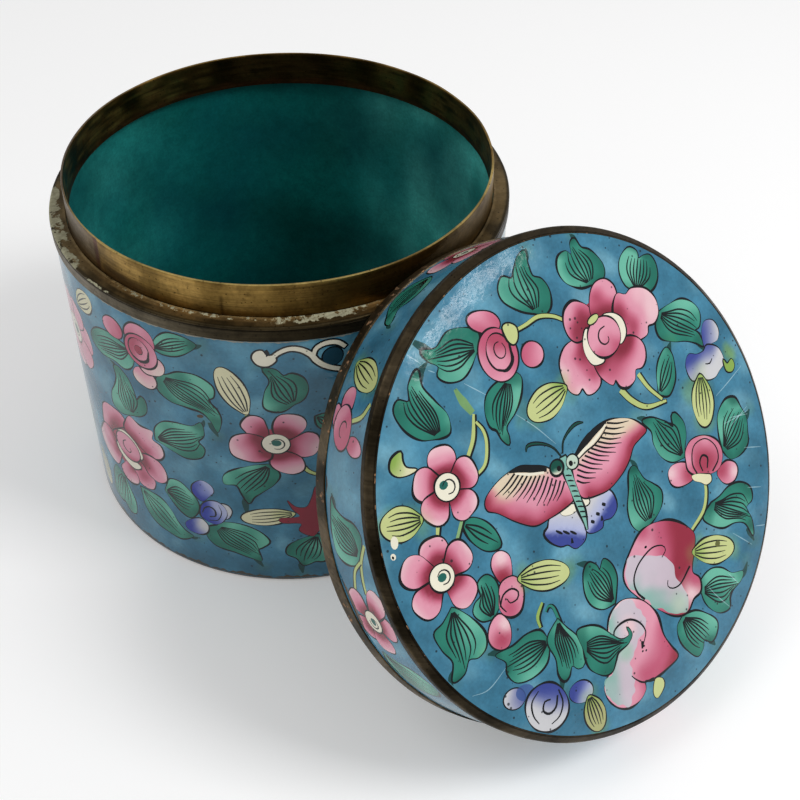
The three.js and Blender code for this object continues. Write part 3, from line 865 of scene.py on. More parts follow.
def lid_rolled_flower(chart):
    """The rolled blue and white flower at the bottom of the lid."""
    leaf(chart, [(-15.9, -25.4), (-15.8, -22), (-13.2, -22.4), (-10.9, -24), (-9, -26.7), (-7.5, -28.6),
        (-5.5, -28.8), (-5.3, -27.3), (-4.7, -29), (-6.2, -30.1), (-9.1, -30.2), (-10.3, -31.3),
        (-11.8, -32.7), (-13.9, -32.2), (-16, -29.5)], 10, None, -0.1)
    swirl = sided_tone(COBALT, GREY_WHITE, (-25.4, -27.6), (-28.4, -31.8), 12)
    petal_tone = sided_tone(GREY_WHITE, COBALT, (-34, -25), (-29.6, -26), 3)
    chart.inked(oval((-32.6, -25.4), 2.2, 1.8, -20), petal_tone, 0.3)
    chart.fill(oval((-30.2, -25.6), 2.0, 1.5, -25), mix(COBALT, GROUND, 0.3), 0.8)
    chart.inked(oval((-27.2, -30.6), 4.7, 4.2, -50), swirl, 0.4)
    chart.line([(-27.7, -26.9), (-29.8, -28.1), (-30.4, -30.4), (-29.9, -32.4)], (0.2, 0.4, 0.2))
    chart.line([(-23.8, -29), (-23.9, -31.6), (-25.5, -33.5), (-27.6, -33.9)], (0.3, 0.4, 0.2))
    chart.line([(-24.4, -29.8), (-25.6, -31.6), (-27.3, -31.9), (-28.2, -30.7), (-27.3, -29.4),
        (-26, -29.7)], (0.4, 0.5, 0.3))
    petal_tone = sided_tone(COBALT, LILAC, (-21, -31.4), (-17.8, -33.6), 6)
    chart.inked(oval((-19.6, -32.2), 2.7, 2.0, -25), petal_tone, 0.28)


def lid_pods(chart):
    """The ribbed pods and the small drops of the lid's top."""
    bud(chart, (-35.4, 11.7), (-43, 14), 2.9, 5)
    bud(chart, (1.8, 18.6), (-8.2, 17.4), 2.9, 4)
    bud(chart, (32.6, 6.6), (29.2, -3), 2.8, 5)
    bud(chart, (15.2, -23), (25.6, -27.6), 2.7, 4)
    chart.fill(oval((21.9, -24.8), 0.7, 0.6, 0, 0.3), mix(BUD_GREEN, WORN, 0.6))
    bud(chart, (-23, -6.9), (-12.4, -11.4), 2.6, 4)
    bud(chart, (-18.4, -33.8), (-18.5, -41.2), 2.3, 5, (mix(BUD, WORN, 0.25), BUD_GREEN))
    shape(chart, [(-3.4, -39.8), (-1.8, -40.6), (-2, -42.2), (-4.2, -43.4), (-4.8, -42)], BUD, 0.2)
    chart.fill(oval((-41.8, 10.7), 0.7, 1.1, -20), CREAM)
    chart.fill(oval((-43, 8.7), 0.5, 0.6), CREAM)
    chart.fill(oval((-43.1, 8.6), 0.22, 0.3), INK)


def lid_scratches(chart):
    scratches = [[(-25.7, 37.5), (-24, 35)], [(-23.3, 33.5), (-22.3, 32.6)], [(-17.9, 28.5), (-14.7, 24.8)],
        [(-10.5, 19), (-7.6, 15), (-5, 10.5)], [(-39.8, -20.3), (-36.5, -21), (-32, -19.5)],
        [(34.5, 1), (39, 2), (44, 3.2)], [(34, -4.8), (38, -5.2), (41.6, -5.4)], [(35.5, -6), (41.5, -4.6)],
        [(36, -4.4), (41, -6)], [(34.3, -19), (38, -20.8)], [(26.5, -25), (30.5, -29.8)],
        [(33, -27), (36.5, -28.6)], [(16, -31), (17.4, -34), (19.8, -38)], [(22, -31.5), (23.7, -34.8)],
        [(37, -11.5), (41.6, -13.6)]]
    for points in scratches:
        chart.line(points, (0.06, 0.2, 0.06), SCRATCH, 0.62)


def lid_face_picture(chart):
    """The lid's top: a moth in the middle, with flowers, leaves and peaches round it."""
    lid_washes(chart)
    lid_leaves(chart)
    lid_stems(chart)
    lid_blossoms(chart)
    lid_peony(chart)
    lid_blue_flower(chart)
    hooded_flower(chart)
    peaches(chart)
    lid_rolled_flower(chart)
    lid_pods(chart)
    butterfly(chart)
    lid_scratches(chart)


def lilac_flower(chart):
    """The jar's small blue flower: a rolled middle with a petal above, one below and one behind."""
    behind = [(-119.9, 22.7), (-118.3, 22.6), (-117.6, 21.1), (-118.3, 19), (-119.4, 18.4), (-120.4, 21)]
    above = [(-125.7, 26.7), (-123.7, 28.6), (-121.7, 27.9), (-121.1, 26.1), (-122.3, 24.2), (-123.9, 22.3),
        (-125.2, 23), (-126.1, 24.5)]
    below = [(-124.8, 16.4), (-123.5, 14.8), (-124, 12.6), (-125.7, 11.3), (-127.5, 11.1), (-129, 11.8),
        (-129, 13.6), (-126.9, 15.6)]
    middle = [(-124.4, 20.7), (-122.7, 22.7), (-120.6, 23.1), (-119.1, 21.9), (-118.7, 19.8), (-120.1, 17),
        (-121.8, 15.9), (-123.6, 16.4), (-124.8, 17.7)]
    blue = mix(COBALT, COBALT_DEEP, 0.75)
    parts = ((behind, GREY_WHITE, LILAC, (-118.4, 21), (-120, 19)),
        (above, blue, LILAC, (-125.4, 24.4), (-121.6, 26.6)), (below, blue, GREY_WHITE, (-128, 12.9),
        (-123.8, 14.2)), (middle, blue, LILAC, (-123.8, 19), (-119.6, 20)))
    for points, first, second, start, end in parts:
        start, end = chart.move([start, end])
        shape(chart, points, sided_tone(first, second, start, end, chart.next_seed(), 3.0), 0.3)
    chart.line([(-124.4, 18.6), (-123.8, 20.2), (-122.6, 21.1), (-121.4, 20.4), (-121.4, 18.6),
        (-122.8, 18)], (0.2, 0.4, 0.44, 0.3))
    chart.line([(-120.4, 22.2), (-119.9, 20), (-121, 17.4), (-123, 16.8)], (0.1, 0.28, 0.2))


def spray_leaves(chart):
    """The leaves and stems of one spray on the jar."""
    leaf(chart, [(-130.4, 61.8), (-129.2, 64.6), (-126.4, 66.8), (-123, 66.8), (-120.6, 65.6),
        (-122.2, 63.6), (-125, 61.8), (-128, 61.2)], 7, (-119.4, 65.8), 0.45)
    leaf(chart, [(-136.4, 58.6), (-139.4, 59.6), (-143, 59.8), (-146.8, 58.4), (-149.4, 55.8), (-149, 53.4),
        (-146, 52.4), (-142, 53), (-139, 52.6), (-136.6, 54.4), (-135.8, 56.8)], 9, None, 0.45)
    leaf(chart, [(-129.4, 55.4), (-127.6, 56.2), (-125, 57.6), (-121.4, 57.8), (-118.4, 55.8),
        (-118.4, 53.2), (-119.6, 52), (-118, 49.6), (-117.4, 47), (-118.4, 43.8), (-119.6, 46.6),
        (-121.4, 48.6), (-124.4, 49), (-128, 49.2), (-130.6, 51.2), (-130.6, 54)], 10, (-118.4, 42.6), 0.3)
    leaf(chart, [(-139.6, 39.6), (-143, 38.2), (-145.6, 39), (-145.4, 42.4), (-143.4, 45.8), (-142.4, 48.6),
        (-142.8, 51), (-141.2, 51.8), (-138.8, 50.2), (-137.6, 47.2), (-137.2, 45), (-135.6, 46.8),
        (-134.6, 45.6), (-134.9, 43), (-137, 40.8)], 9, (-143.6, 52.2), 0.35)
    leaf(chart, [(-133.6, 36.2), (-133.2, 39.4), (-131, 42.2), (-127.6, 43.4), (-124, 43.9), (-121.8, 45.4),
        (-121.5, 42.2), (-123, 40), (-121.8, 38.2), (-122.8, 35.6), (-126, 34.3), (-129.4, 34.9)], 10,
        (-121, 46.4), 0.35)
    leaf(chart, [(-133.4, 21.2), (-132.4, 23.6), (-131.4, 25.6), (-129, 26), (-126.8, 24.2), (-125.2, 21.6),
        (-125.4, 18.6), (-127.4, 15.8), (-129.4, 16.4), (-131.6, 18.6)], 9, None, 0.3)
    leaf(chart, [(-141.2, 17.4), (-141, 14.6), (-140.6, 11.6), (-138.4, 8.8), (-135, 7.6), (-131, 7.3),
        (-127.6, 9.6), (-129.4, 10.4), (-131.2, 12.4), (-132.6, 15.4), (-135, 17.6), (-138.4, 17.9)], 6,
        (-126.4, 9.8), 0.3)
    leaf(chart, [(-147.4, 16.6), (-150.6, 17.2), (-152.6, 14), (-153.4, 10), (-154.6, 6.4), (-151.6, 5.6),
        (-149.6, 6.2), (-147.6, 4.6), (-145.2, 6), (-144.6, 10), (-146, 13.6)], 8, None, 0.4)
    leaf(chart, [(-102.8, 52.2), (-105.4, 50.6), (-108.4, 51.6), (-108.2, 55.4), (-107, 58.4),
        (-108.2, 61.4), (-105.8, 61.2), (-104.4, 59.6), (-102.8, 60), (-100.6, 58.6), (-99.9, 56),
        (-101, 53.4)], 8, (-108.8, 62.2), -0.1)
    leaf(chart, [(-108.6, 36.2), (-112, 35.6), (-115.4, 34), (-118.2, 31.8), (-118.4, 29.2), (-115.8, 29.4),
        (-114.8, 27), (-113.6, 24.4), (-112.4, 26.4), (-110.6, 28), (-108, 30.4), (-106.8, 33.4)], 8,
        (-114.2, 20.4), 0.0, -1)
    leaf(chart, [(-121.4, 15.6), (-119.6, 17.2), (-116, 17.4), (-112.2, 15.8), (-110.2, 12.8),
        (-111.8, 10.8), (-112.8, 9.8), (-112.2, 6.4), (-114.6, 7), (-118, 8.2), (-122, 9), (-124, 11.2),
        (-123.8, 14)], 10, (-112, 4.4), 0.1)
    leaf(chart, [(-100, 14.6), (-103.4, 13.6), (-106, 11.6), (-106.6, 9), (-104.6, 7.4), (-103.2, 5),
        (-100.6, 6), (-98.6, 6), (-97.6, 10), (-98.6, 13.6)], 8, (-103.6, 2.4), 0.0)
    stem(chart, [(-102, 35.8), (-101, 34), (-99.4, 32.8)], (0.8, 1.0, 0.8))
    stem(chart, [(-112.4, 47.6), (-112, 50)], (0.9, 0.7))


def spray_peony(chart):
    petals = ([(-144.6, 33), (-142.4, 35), (-143.4, 37.2), (-146.6, 37.4), (-149.6, 36.6), (-151.4, 34.6),
        (-152.2, 31.6), (-152.4, 29), (-149.6, 28.6), (-147.6, 30.6)],
        [(-143, 33.4), (-142.2, 36.4), (-140.4, 38.8), (-137.6, 37.6), (-134.2, 38), (-134.6, 35.6),
        (-132.6, 34.6), (-132.2, 32.2), (-133.8, 30.3), (-136.4, 30), (-139.2, 31.4)],
        [(-139.4, 28.6), (-136.6, 29.7), (-133.8, 29.3), (-132.4, 27.2), (-132.6, 24.4), (-134.8, 22.8),
        (-137.6, 23.6), (-139.6, 26)], [(-139.8, 26.2), (-137.8, 23.6), (-136, 22.4), (-136.8, 19.6),
        (-138.8, 18.6), (-140.8, 18.8), (-142.2, 20.6), (-143, 23)],
        [(-142, 21), (-141.6, 18.4), (-143.6, 16.8), (-146.2, 16.6), (-147.8, 18.6), (-146.4, 21),
        (-144, 23.4)], [(-147.6, 21.4), (-149.4, 18.6), (-152.6, 18.6), (-155.4, 20.8), (-156, 23.6),
        (-154.4, 26), (-152.2, 28.8), (-148.6, 28.4), (-146.4, 25)])
    folds = ([(-146.2, 30.6), (-144.4, 32.4), (-142.2, 32.4), (-140, 31), (-138.6, 28.4), (-139.4, 27),
        (-141.4, 30)], [(-147.6, 26.6), (-147, 24.4), (-144.6, 22.8), (-142, 22.4), (-139.8, 24.2),
        (-141.8, 25.2), (-145.4, 27.4)])
    peony(chart, (-143.4, 28.1), petals, folds, 12.2, 3.9, 100)


def spray_blossoms(chart, first):
    """The round blossom, the rose bud and the open blossom of one spray."""
    middle = -160 if first else -156
    tips = []
    for i in range(7):
        angle = math.radians(10 + 360 * i / 7)
        tips.append((middle + 9.4 * math.cos(angle), 50 + 9.4 * math.sin(angle)))
    blossom(chart, (middle, 50), tips, 7.4, (0.4, 0), 3.4, 0.55)
    rose_bud(chart, (-133.6, 59.6), 3.9, 3.9, ((-133.4, 62.8, 3.6, 3.4, 0), (-140.6, 62.2, 2.9, 2.4, 0),
        (-133.6, 52.8, 2.9, 2.4, 0), (-131.4, 56.8, 3.2, 2.4, 30)), 160, 0, True)
    petals = ([(-112.1, 48.8), (-110.7, 49.3), (-109.2, 48.7), (-108.6, 47.1), (-108.2, 44.6),
        (-109.2, 42.8), (-111, 43), (-112.6, 44.9), (-113.4, 46.7)],
        [(-106.9, 47.6), (-105.7, 49.5), (-103.6, 49.7), (-101.6, 48.9), (-100.7, 47.2), (-101.3, 45.3),
        (-103.6, 43.4), (-105.5, 43.4), (-107, 44.8)], [(-104.8, 42.1), (-102.6, 43.7), (-100.5, 44.6),
        (-98.7, 43.5), (-98.4, 41), (-99.3, 38.6), (-101.5, 38), (-103.6, 38.9), (-105.2, 40.6)],
        [(-108.3, 37), (-107.2, 39.2), (-104.9, 39.6), (-102.5, 38.2), (-101.7, 36.4), (-101.9, 34.4),
        (-103.8, 33.4), (-106, 33.9), (-107.7, 35.2)], [(-115.9, 42.2), (-114.7, 43.6), (-112, 44.4),
        (-108.9, 43.2), (-108.2, 40.7), (-108.2, 38), (-110.4, 36.9), (-112.9, 36.9), (-115.6, 38),
        (-116.3, 40.1)])
    heart = chart.move([(-106.9, 41.9)])[0]
    chart.fill(oval(heart, 4.5, 4.1, 0, chart.step), mix(CRIMSON, ROSE, 0.2))
    for points in petals:
        shape(chart, points, flower_tone(heart, 8.4, chart.next_seed(), 0.98), 0.36)
    flower_eye(chart, heart, (0.1, 0.2), 2.7)


def spray_pods(chart):
    """The pods of one spray, and its dark red star beside the lid."""
    bud(chart, (-112, 49.6), (-116.6, 61), 2.7, 4, (BUD_CREAM, BUD_CREAM), False)
    bud(chart, (-104.2, 21.6), (-115.6, 19.4), 2.4, 4, (BUD_CREAM, BUD), False)
    bud(chart, (-154, 60.2), (-147.2, 65.2), 2.6, 4, (BUD_CREAM, BUD), False)
    star = [(-105.6, 25.6), (-104, 23.6), (-101.8, 23.4), (-100.6, 26), (-99.6, 29.2), (-98.2, 26),
        (-98, 18), (-99.6, 15.6), (-101, 14.2), (-103.6, 16.2), (-103.2, 18.4), (-107, 18.8),
        (-107.4, 20.2), (-103.4, 20.6), (-104.6, 22.8)]
    shape(chart, star, mix(CRIMSON, STAR_RED, 0.5), 0.16)


def spray_scroll(chart):
    """The cream scroll under the rim, with the small marks that only the front has."""
    ball = smooth(chart.move([(-109.9, 64), (-109.3, 65.4), (-108, 65.8), (-107.2, 64.6), (-106, 64.6),
        (-105.6, 63.4), (-107.2, 62.1), (-109, 62.4)]))
    wave = chart.move([(-106.6, 63.6), (-105, 65.2), (-102.9, 66.1), (-100.8, 65.7), (-99, 64.3),
        (-98, 62.7), (-96.4, 61.2), (-94, 60), (-91.6, 59.6)])
    loop = chart.move([(-98.6, 63.6), (-98, 65.6), (-96.2, 66.6), (-94, 66.4), (-92.4, 65)])
    lines = (ball, stroke(wave, [0.7, 1.0, 1.1, 0.9], 0.5), stroke(loop, [0.6, 0.9, 1.0, 0.8], 0.5))
    for outline in lines:
        chart.fill(grown(outline, 0.4), INK, 0.95)
    chart.inked(oval((-94.9, 63.2), 1.9, 2.1, -10), mix(GROUND_DEEP, INK, 0.4), 0.3)
    for outline in lines:
        chart.fill(outline, CREAM)
    chart.line([(-107.4, 65.9), (-106.9, 65.1), (-107.3, 64.4)], (0.9, 0.7, 0.2))
    chart.fill(oval((-121.7, 47.3), 0.8, 0.45, 20), WORN)
    leaf(chart, [(-98.8, 48.6), (-98.4, 46), (-96.4, 44.6), (-95.6, 47), (-96.8, 49)], 2, None, -0.5)


def jar_spray(chart, first):
    """One spray of the jar's flowers. The first is the one that shows, the others are plainer."""
    spray_leaves(chart)
    spray_peony(chart)
    spray_blossoms(chart, first)
    lilac_flower(chart)
    spray_pods(chart)
    if first:
        spray_scroll(chart)


def hold_on_disc(points):
    points = np.asarray(points, float)
    limit = FACE_RADIUS - EDGE_ROOM
    far = np.linalg.norm(points, axis=1)
    return points * np.minimum(1, limit / np.maximum(far, 1e-9))[:, None]


def hold_in(low, high):
    low, high = np.asarray(low, float) + EDGE_ROOM, np.asarray(high, float) - EDGE_ROOM
    return lambda points: np.clip(np.asarray(points, float), low, high)


def mirrored(middle, shift):
    def move(points):
        points = np.array(points, float)
        points[:, 0] = 2 * middle - points[:, 0] + shift
        return points

    return move


def shifted(shift):
    return lambda points: np.asarray(points, float) + [shift, 0]


def jar_picture():
    chart = Chart(hold_in((JAR_LEFT, JAR_LOW), (JAR_RIGHT, JAR_HIGH)))
    front_pale = [((-146.5, 46.5), 4), ((-129.5, 46.5), 5), ((-148, 60.5), 5), ((-150, 42), 5),
        ((-128, 30), 6), ((-120, 62), 6), ((-112, 66), 6), ((-118, 35), 5), ((-150, 12), 6), ((-140, 4), 6)]
    for place, reach in front_pale:
        chart.wash(place, reach, GROUND_PALE, 0.4)
    # Deeper blue washes on the jar's front: some are clouds in the enamel, and those on the right beside
    # the lid are painted shade
    front_deep_and_shade = [((-145, 5), 9), ((-133, 12), 8), ((-118, 56), 9), ((-105, 30), 8), ((-125, 3), 8),
        ((-110, 3), 8), ((-100, 42), 7), ((-119, 11), 6), ((-134, 42), 5), ((-101, 12), 9), ((-99, 58), 8),
        ((-96, 30), 9), ((-108, 22), 7), ((-98, 44), 7), ((-116, 25), 6)]
    # A row of deeper washes along the foot: painted shade, darker towards the bottom
    front_deep_and_shade += [((angle, 3), 7) for angle in range(-150, -94, 9)]
    for place, reach in front_deep_and_shade:
        chart.wash(place, reach, GROUND_DEEP, 0.45)
    chart.plain = True
    chart.step = PLAIN_STEP
    for turned_over, shift in ((True, 80), (False, 152), (True, 226)):
        chart.move = mirrored(-134, shift) if turned_over else shifted(shift)
        for place in ((-140, 55), (-115, 40), (-128, 12), (-150, 35)):
            chart.wash(place, 8, GROUND_PALE if turned_over else GROUND_DEEP, 0.3)
        jar_spray(chart, False)
    chart.move = shifted(0)
    leaf(chart, [(-166, 14), (-168.8, 16.4), (-170.8, 20.6), (-171.2, 25.6), (-168.2, 26.2), (-165.6, 24),
        (-163.4, 25.2), (-162.4, 20.6), (-163.6, 16.4)], 6)
    leaf(chart, [(116, 14), (113.6, 16.6), (112.6, 21), (114, 25.6), (116.6, 24.2), (119.4, 26.4),
        (121.4, 22), (120.2, 17.4), (118.4, 14.8)], 6)
    bud(chart, (116.4, 13), (114.4, 4.4), 2.4, 4, (BUD_CREAM, BUD), False)
    bud(chart, (-159.6, 15.6), (-158, 4.8), 2.6, 4, (BUD_CREAM, BUD), False)
    chart.plain = False
    chart.step = FINE_STEP
    jar_spray(chart, True)
    across = np.linspace(JAR_LEFT, JAR_RIGHT, 400)
    foot = 1.5 + 0.45 * np.sin(0.9 * across) * np.sin(0.37 * across + 1) + 0.25 * np.sin(3.1 * across)
    head = JAR_HIGH - 0.34 - 0.16 * np.sin(1.1 * across) * np.sin(0.43 * across)
    head -= 0.1 * np.sin(3.7 * across)
    for uneven, edge, paint in ((foot, JAR_LOW, WORN), (head, JAR_HIGH, mix(CREAM, WORN, 0.45))):
        there = np.stack([across, uneven], 1)
        back = np.stack([across[::-1], np.full(len(across), edge)], 1)
        chart.fill(np.vstack([there, back]), paint, 0.85)
    return chart


def side_blossom(chart):
    """The open flower that comes again round the lid's side."""
    tips = [(151.8, 15.4), (144.2, 15.2), (144.4, 5.4), (152.6, 4.4), (157.2, 8.8)]
    blossom(chart, (150.2, 9.4), tips, 5.0, (0, 0), 2.2)


def lid_side_spray(chart):
    """The motifs on the part of the lid's side that shows."""
    leaf(chart, [(83.2, 9.4), (84.6, 11), (87.6, 11.5), (90, 10.6), (92, 8.8), (93.6, 9.2), (95.8, 9.8),
        (95.4, 8), (93.6, 6.6), (91, 4.6), (88.4, 3.9), (85.8, 4.8), (84.2, 6.8)], 9, (96.6, 10.8), -0.2)
    leaf(chart, [(137.6, 13.2), (134.4, 14.8), (132.2, 13), (131.2, 9.6), (129.4, 6.4), (127.8, 5.6),
        (131, 5), (134, 4.7), (137.4, 5), (139, 7.4), (139.2, 10.6)], 10, (127, 5.6), 0.4)
    leaf(chart, [(157.6, 5.4), (159.4, 8.2), (161.6, 12.6), (165.2, 14.4), (167.8, 12.4), (168.8, 8.4),
        (167.4, 5.4), (162, 4.2)], 7, None, 0.45)
    stem(chart, [(135.4, 15.4), (138.4, 13.2), (141.6, 12), (144.6, 11.4)], (0.9, 0.8))
    stem(chart, [(138.4, 13), (140.4, 10), (143.8, 8)], (0.7, 0.8))
    stem(chart, [(111.6, 15.6), (113.8, 13.6), (114.6, 10)], (1.0, 1.1, 0.9))
    side_blossom(chart)
    blossom(chart, (74, 8.4), [(77.4, 14.4), (70, 15), (66.4, 8.6), (72.6, 3.8), (81.8, 7.2)], 6.0,
        (-0.2, 0), 2.2)
    lobes = ((119, 12.6, 1.5, 2.9, -20), (110.8, 7.6, 2.5, 2.2, 0), (113.4, 4.6, 2.2, 1.2, 20))
    rose_bud(chart, (115.6, 7.6), 4.1, 2.9, lobes, 40, 20, False, False)
    bud(chart, (103.4, 5.4), (108.6, 15.2), 2.7, 4)


def lid_side_picture():
    chart = Chart(hold_in((LID_LEFT, LID_LOW), (LID_LEFT + 2 * math.pi * LID_SIDE_RADIUS, LID_HIGH)), 0.6)
    pale_places = [((124, 10), 8), ((88, 14), 6), ((128, 14), 6), ((172, 9), 6)]
    deep_places = [((99, 9), 6), ((143, 5), 5)]
    for paint, places in ((GROUND_PALE, pale_places), (GROUND_DEEP, deep_places)):
        for place, reach in places:
            chart.wash(place, reach, paint, 0.45)
    lid_side_spray(chart)
    chart.plain = True
    chart.step = PLAIN_STEP
    chart.move = shifted(-104)
    lid_side_spray(chart)
    chart.move = mirrored(118, -160)
    side_blossom(chart)
    bud(chart, (132.4, 5.4), (137.6, 15.2), 2.7, 4)
    leaf(chart, [(137.6, 13.2), (134.4, 14.8), (132.2, 13), (131.2, 9.6), (129.4, 6.4), (131, 5),
        (134, 4.7), (137.4, 5), (139, 7.4), (139.2, 10.6)], 8, None, 0.1)
    chart.move = shifted(0)
    chart.step = FINE_STEP
    chips = [[(140.4, 3.4), (142, 3.9), (144, 4.9), (147, 5.2), (150.6, 5), (153, 4.2), (156, 3.8),
        (157, 3.4)], [(123.6, 3.4), (124.6, 4.1), (125.6, 4.3), (126.6, 3.9), (127.4, 3.4)]]
    for chip in chips:
        chart.fill(chip, WORN, 0.95)
    return chart


# Meshes
class Shell:
    """Collects faces with a paint at each corner and makes one mesh of them."""

    def __init__(self):
        self.places = []
        self.faces = []
        self.paints = []
        self.slots = []
        self.count = 0

    def add(self, places, faces, paints, slot=0):
        self.places.append(np.asarray(places, float))
        self.faces.append(np.asarray(faces) + self.count)
        self.paints.append(np.asarray(paints, float))
        self.slots.append(np.full(len(faces), slot))
        self.count += len(places)

    def make(self, name, materials, sharp=35.0):
        places = np.vstack(self.places)
        _, first, back = np.unique(np.round(places, 4), axis=0, return_index=True, return_inverse=True)
        places = places[first]
        back = back.reshape(-1)
        corners, starts, paints, slots = [], [], [], []
        total = 0
        for faces, paint, slot in zip(self.faces, self.paints, self.slots):
            welded = back[faces]
            size = faces.shape[1]
            if size == 4:
                flat = (welded == np.roll(welded, -1, 1)).any(1)
                for row, colour, index in zip(welded[flat], paint[flat], slot[flat]):
                    keep = [i for i in range(4) if row[i] != row[i - 1]]
                    if len(keep) == 3:
                        corners.append(row[keep])
                        starts.append(np.array([total]))
                        paints.append(colour[keep])
                        slots.append(np.array([index]))
                        total += 3
                welded, paint, slot = welded[~flat], paint[~flat], slot[~flat]
            else:
                fine = (welded != np.roll(welded, -1, 1)).all(1)
                welded, paint, slot = welded[fine], paint[fine], slot[fine]
            corners.append(welded.reshape(-1))
            starts.append(total + size * np.arange(len(welded)))
            paints.append(paint.reshape(-1, 4))
            slots.append(slot)
            total += size * len(welded)
        corners, starts = np.concatenate(corners), np.concatenate(starts)
        paints, slots = np.vstack(paints), np.concatenate(slots)
        mesh = bpy.data.meshes.new(name)
        mesh.vertices.add(len(places))
        mesh.vertices.foreach_set("co", (places * MM).astype(np.float32).ravel())
        mesh.loops.add(len(corners))
        mesh.loops.foreach_set("vertex_index", corners.astype(np.int32))
        mesh.polygons.add(len(starts))
        mesh.polygons.foreach_set("loop_start", starts.astype(np.int32))
        for material in materials:
            mesh.materials.append(material)
        mesh.polygons.foreach_set("material_index", slots.astype(np.int32))
        mesh.update(calc_edges=True)
        layer = mesh.color_attributes.new("paint", "FLOAT_COLOR", "CORNER")
        linear = paints.copy()
        linear[:, :3] = as_light(linear[:, :3])
        layer.data.foreach_set("color", linear.astype(np.float32).ravel())
        mesh.validate()
        mesh.polygons.foreach_set("use_smooth", np.ones(len(mesh.polygons), bool))
        mesh.set_sharp_from_angle(angle=math.radians(sharp))
        piece = bpy.data.objects.new(name, mesh)
        bpy.context.scene.collection.objects.link(piece)
        return piece


def to_world(places, leaning):
    """Lid places become jar places when the lid's lean is applied."""
    if not leaning:
        return places
    return LID_PLACE + places[:, :1] * LID_RIGHT + places[:, 1:2] * LID_UP + places[:, 2:] * LID_OUT


def turned(shell, profile, seam, paint, leaning=False, slot=0, shift=None):
    """A turned surface. Going up the profile, its outside is on the right."""
    profile = np.asarray(profile, float)
    angle = seam + 2 * math.pi * np.arange(ROUND_STEPS) / ROUND_STEPS
    radius = np.repeat(profile[:, :1], ROUND_STEPS, 1)
    height = np.repeat(profile[:, 1:], ROUND_STEPS, 1)
    turn = np.repeat(angle[None], len(profile), 0)
    if shift is not None:
        radius, height = shift(radius, height, turn)
    places = np.stack([radius * np.cos(turn), radius * np.sin(turn), height], -1)
    index = np.arange(len(profile) * ROUND_STEPS).reshape(len(profile), ROUND_STEPS)
    right = np.roll(index, -1, 1)
    faces = np.stack([index[:-1], right[:-1], right[1:], index[1:]], -1).reshape(-1, 4)
    flat = places.reshape(-1, 3)
    turn = turn.reshape(-1)
    colours = paint(flat, turn)
    shell.add(to_world(flat, leaning), faces, colours[faces], slot)


def inside_paint(places, turn):
    """The inside enamel, painted lighter on two arcs of the wall where light falls in (painted light), and
    plain at the middle of the floor.
    """
    shade = 1 + 0.12 * waver(places, 14, 21)
    # Painted light: a paler paint on two arcs of the wall, fading towards the middle of the floor
    painted_light = np.maximum(0.95 * in_arc(turn, -80, 24, 28), 0.3 * in_arc(turn, 95, 170, 20))
    painted_light = painted_light * (1 + 0.5 * waver(places, 9, 22)) * ramp(np.linalg.norm(places[:, :2], axis=1), 4, 34)
    colour = mix(INSIDE, INSIDE_PAINTED_LIGHT, np.clip(painted_light, 0, 1)) * shade[:, None]
    return masked(colour, 0.0)


def plain_paint(colour, mask=0.0, size=6.0, amount=0.05):
    def paint(places, _):
        shade = 1 + amount * waver(places, size, 21)
        return masked(colour * shade[:, None], mask)

    return paint


def arc(centre_r, centre_z, radius, start, end, steps):
    angles = np.radians(np.linspace(start, end, steps + 1))
    return [(centre_r + radius * math.cos(a), centre_z + radius * math.sin(a)) for a in angles]


def between(first, second, steps):
    first, second = np.asarray(first, float), np.asarray(second, float)
    return [tuple(first + (second - first) * i / steps) for i in range(1, steps)]


def painted_faces(chart, boundary, inner, ground):
    """Cuts the chart along every brush line and gives each corner its paint."""
    places = [Vector(p) for p in boundary] + [Vector(p) for p in inner]
    edges = []
    for kind, outline, _, _, _ in chart.layers:
        if kind == "fill":
            start = len(places)
            places += [Vector(p) for p in outline]
            edges += [(start + i, start + (i + 1) % len(outline)) for i in range(len(outline))]
    result = delaunay_2d_cdt(places, edges, [list(range(len(boundary)))], 1, 1e-4)
    flat = np.array([tuple(v) for v in result[0]])
    faces = np.array(result[2])
    corners = flat[faces]
    area = np.cross(corners[:, 1] - corners[:, 0], corners[:, 2] - corners[:, 0])
    faces[area < 0] = faces[area < 0][:, ::-1]
    corners = flat[faces]
    middles = corners.mean(1)
    colour = ground(corners)
    share = np.ones(corners.shape[:2])
    for kind, form, paint, strength, mask in chart.layers:
        if kind == "fill":
            near = np.flatnonzero(((middles >= form.min(0)) & (middles <= form.max(0))).all(1))
            chosen = near[inside(form, middles[near])] if len(near) else near
            amount = np.full((len(chosen), 3), strength)
        else:
            centre, reach = form
            near = np.flatnonzero((np.abs(middles - centre) < reach + 1.5).all(1))
            far = np.linalg.norm(corners[near] - centre, axis=-1) / reach
            far = far + 0.22 * waver(corners[near], reach * 0.8, int(abs(centre[0] * 7)) + 1)
            chosen = near
            amount = strength * (1 - ramp(far, 0.1, 1.0))
        spot = corners[chosen]
        fresh = paint(spot) if callable(paint) else paint
        colour[chosen] = mix(colour[chosen], fresh, amount)
        share[chosen] = share[chosen] + (mask - share[chosen]) * amount
    return flat, faces, masked(colour, share)


def blue_ground(seed):
    def ground(places):
        cloud = 0.8 * waver(places, 13.0, seed) + 0.8 * waver(places, 4.5, seed + 1)
        colour = mix(GROUND, GROUND_DEEP, 0.6 * ramp(cloud, 0.1, 1.4))
        return mix(colour, GROUND_PALE, 0.65 * ramp(-cloud, 0.2, 1.4))

    return ground


def round_ground(seed, left, width):
    """The same ground for a strip that closes on itself: its end runs into its start."""
    plain = blue_ground(seed)

    def ground(places):
        start_again = plain(places - [width, 0])
        return mix(plain(places), start_again, ramp(places[..., 0], left + width - 16, left + width))

    return ground


def face_height(radius):
    """The lid's top: nearly flat in the middle and falling softly to the edge."""
    rise = SHOULDER_RISE + CROWN_RISE
    return FACE_EDGE + rise * (1 - np.clip(radius / FACE_RADIUS, 0, 1) ** 6)


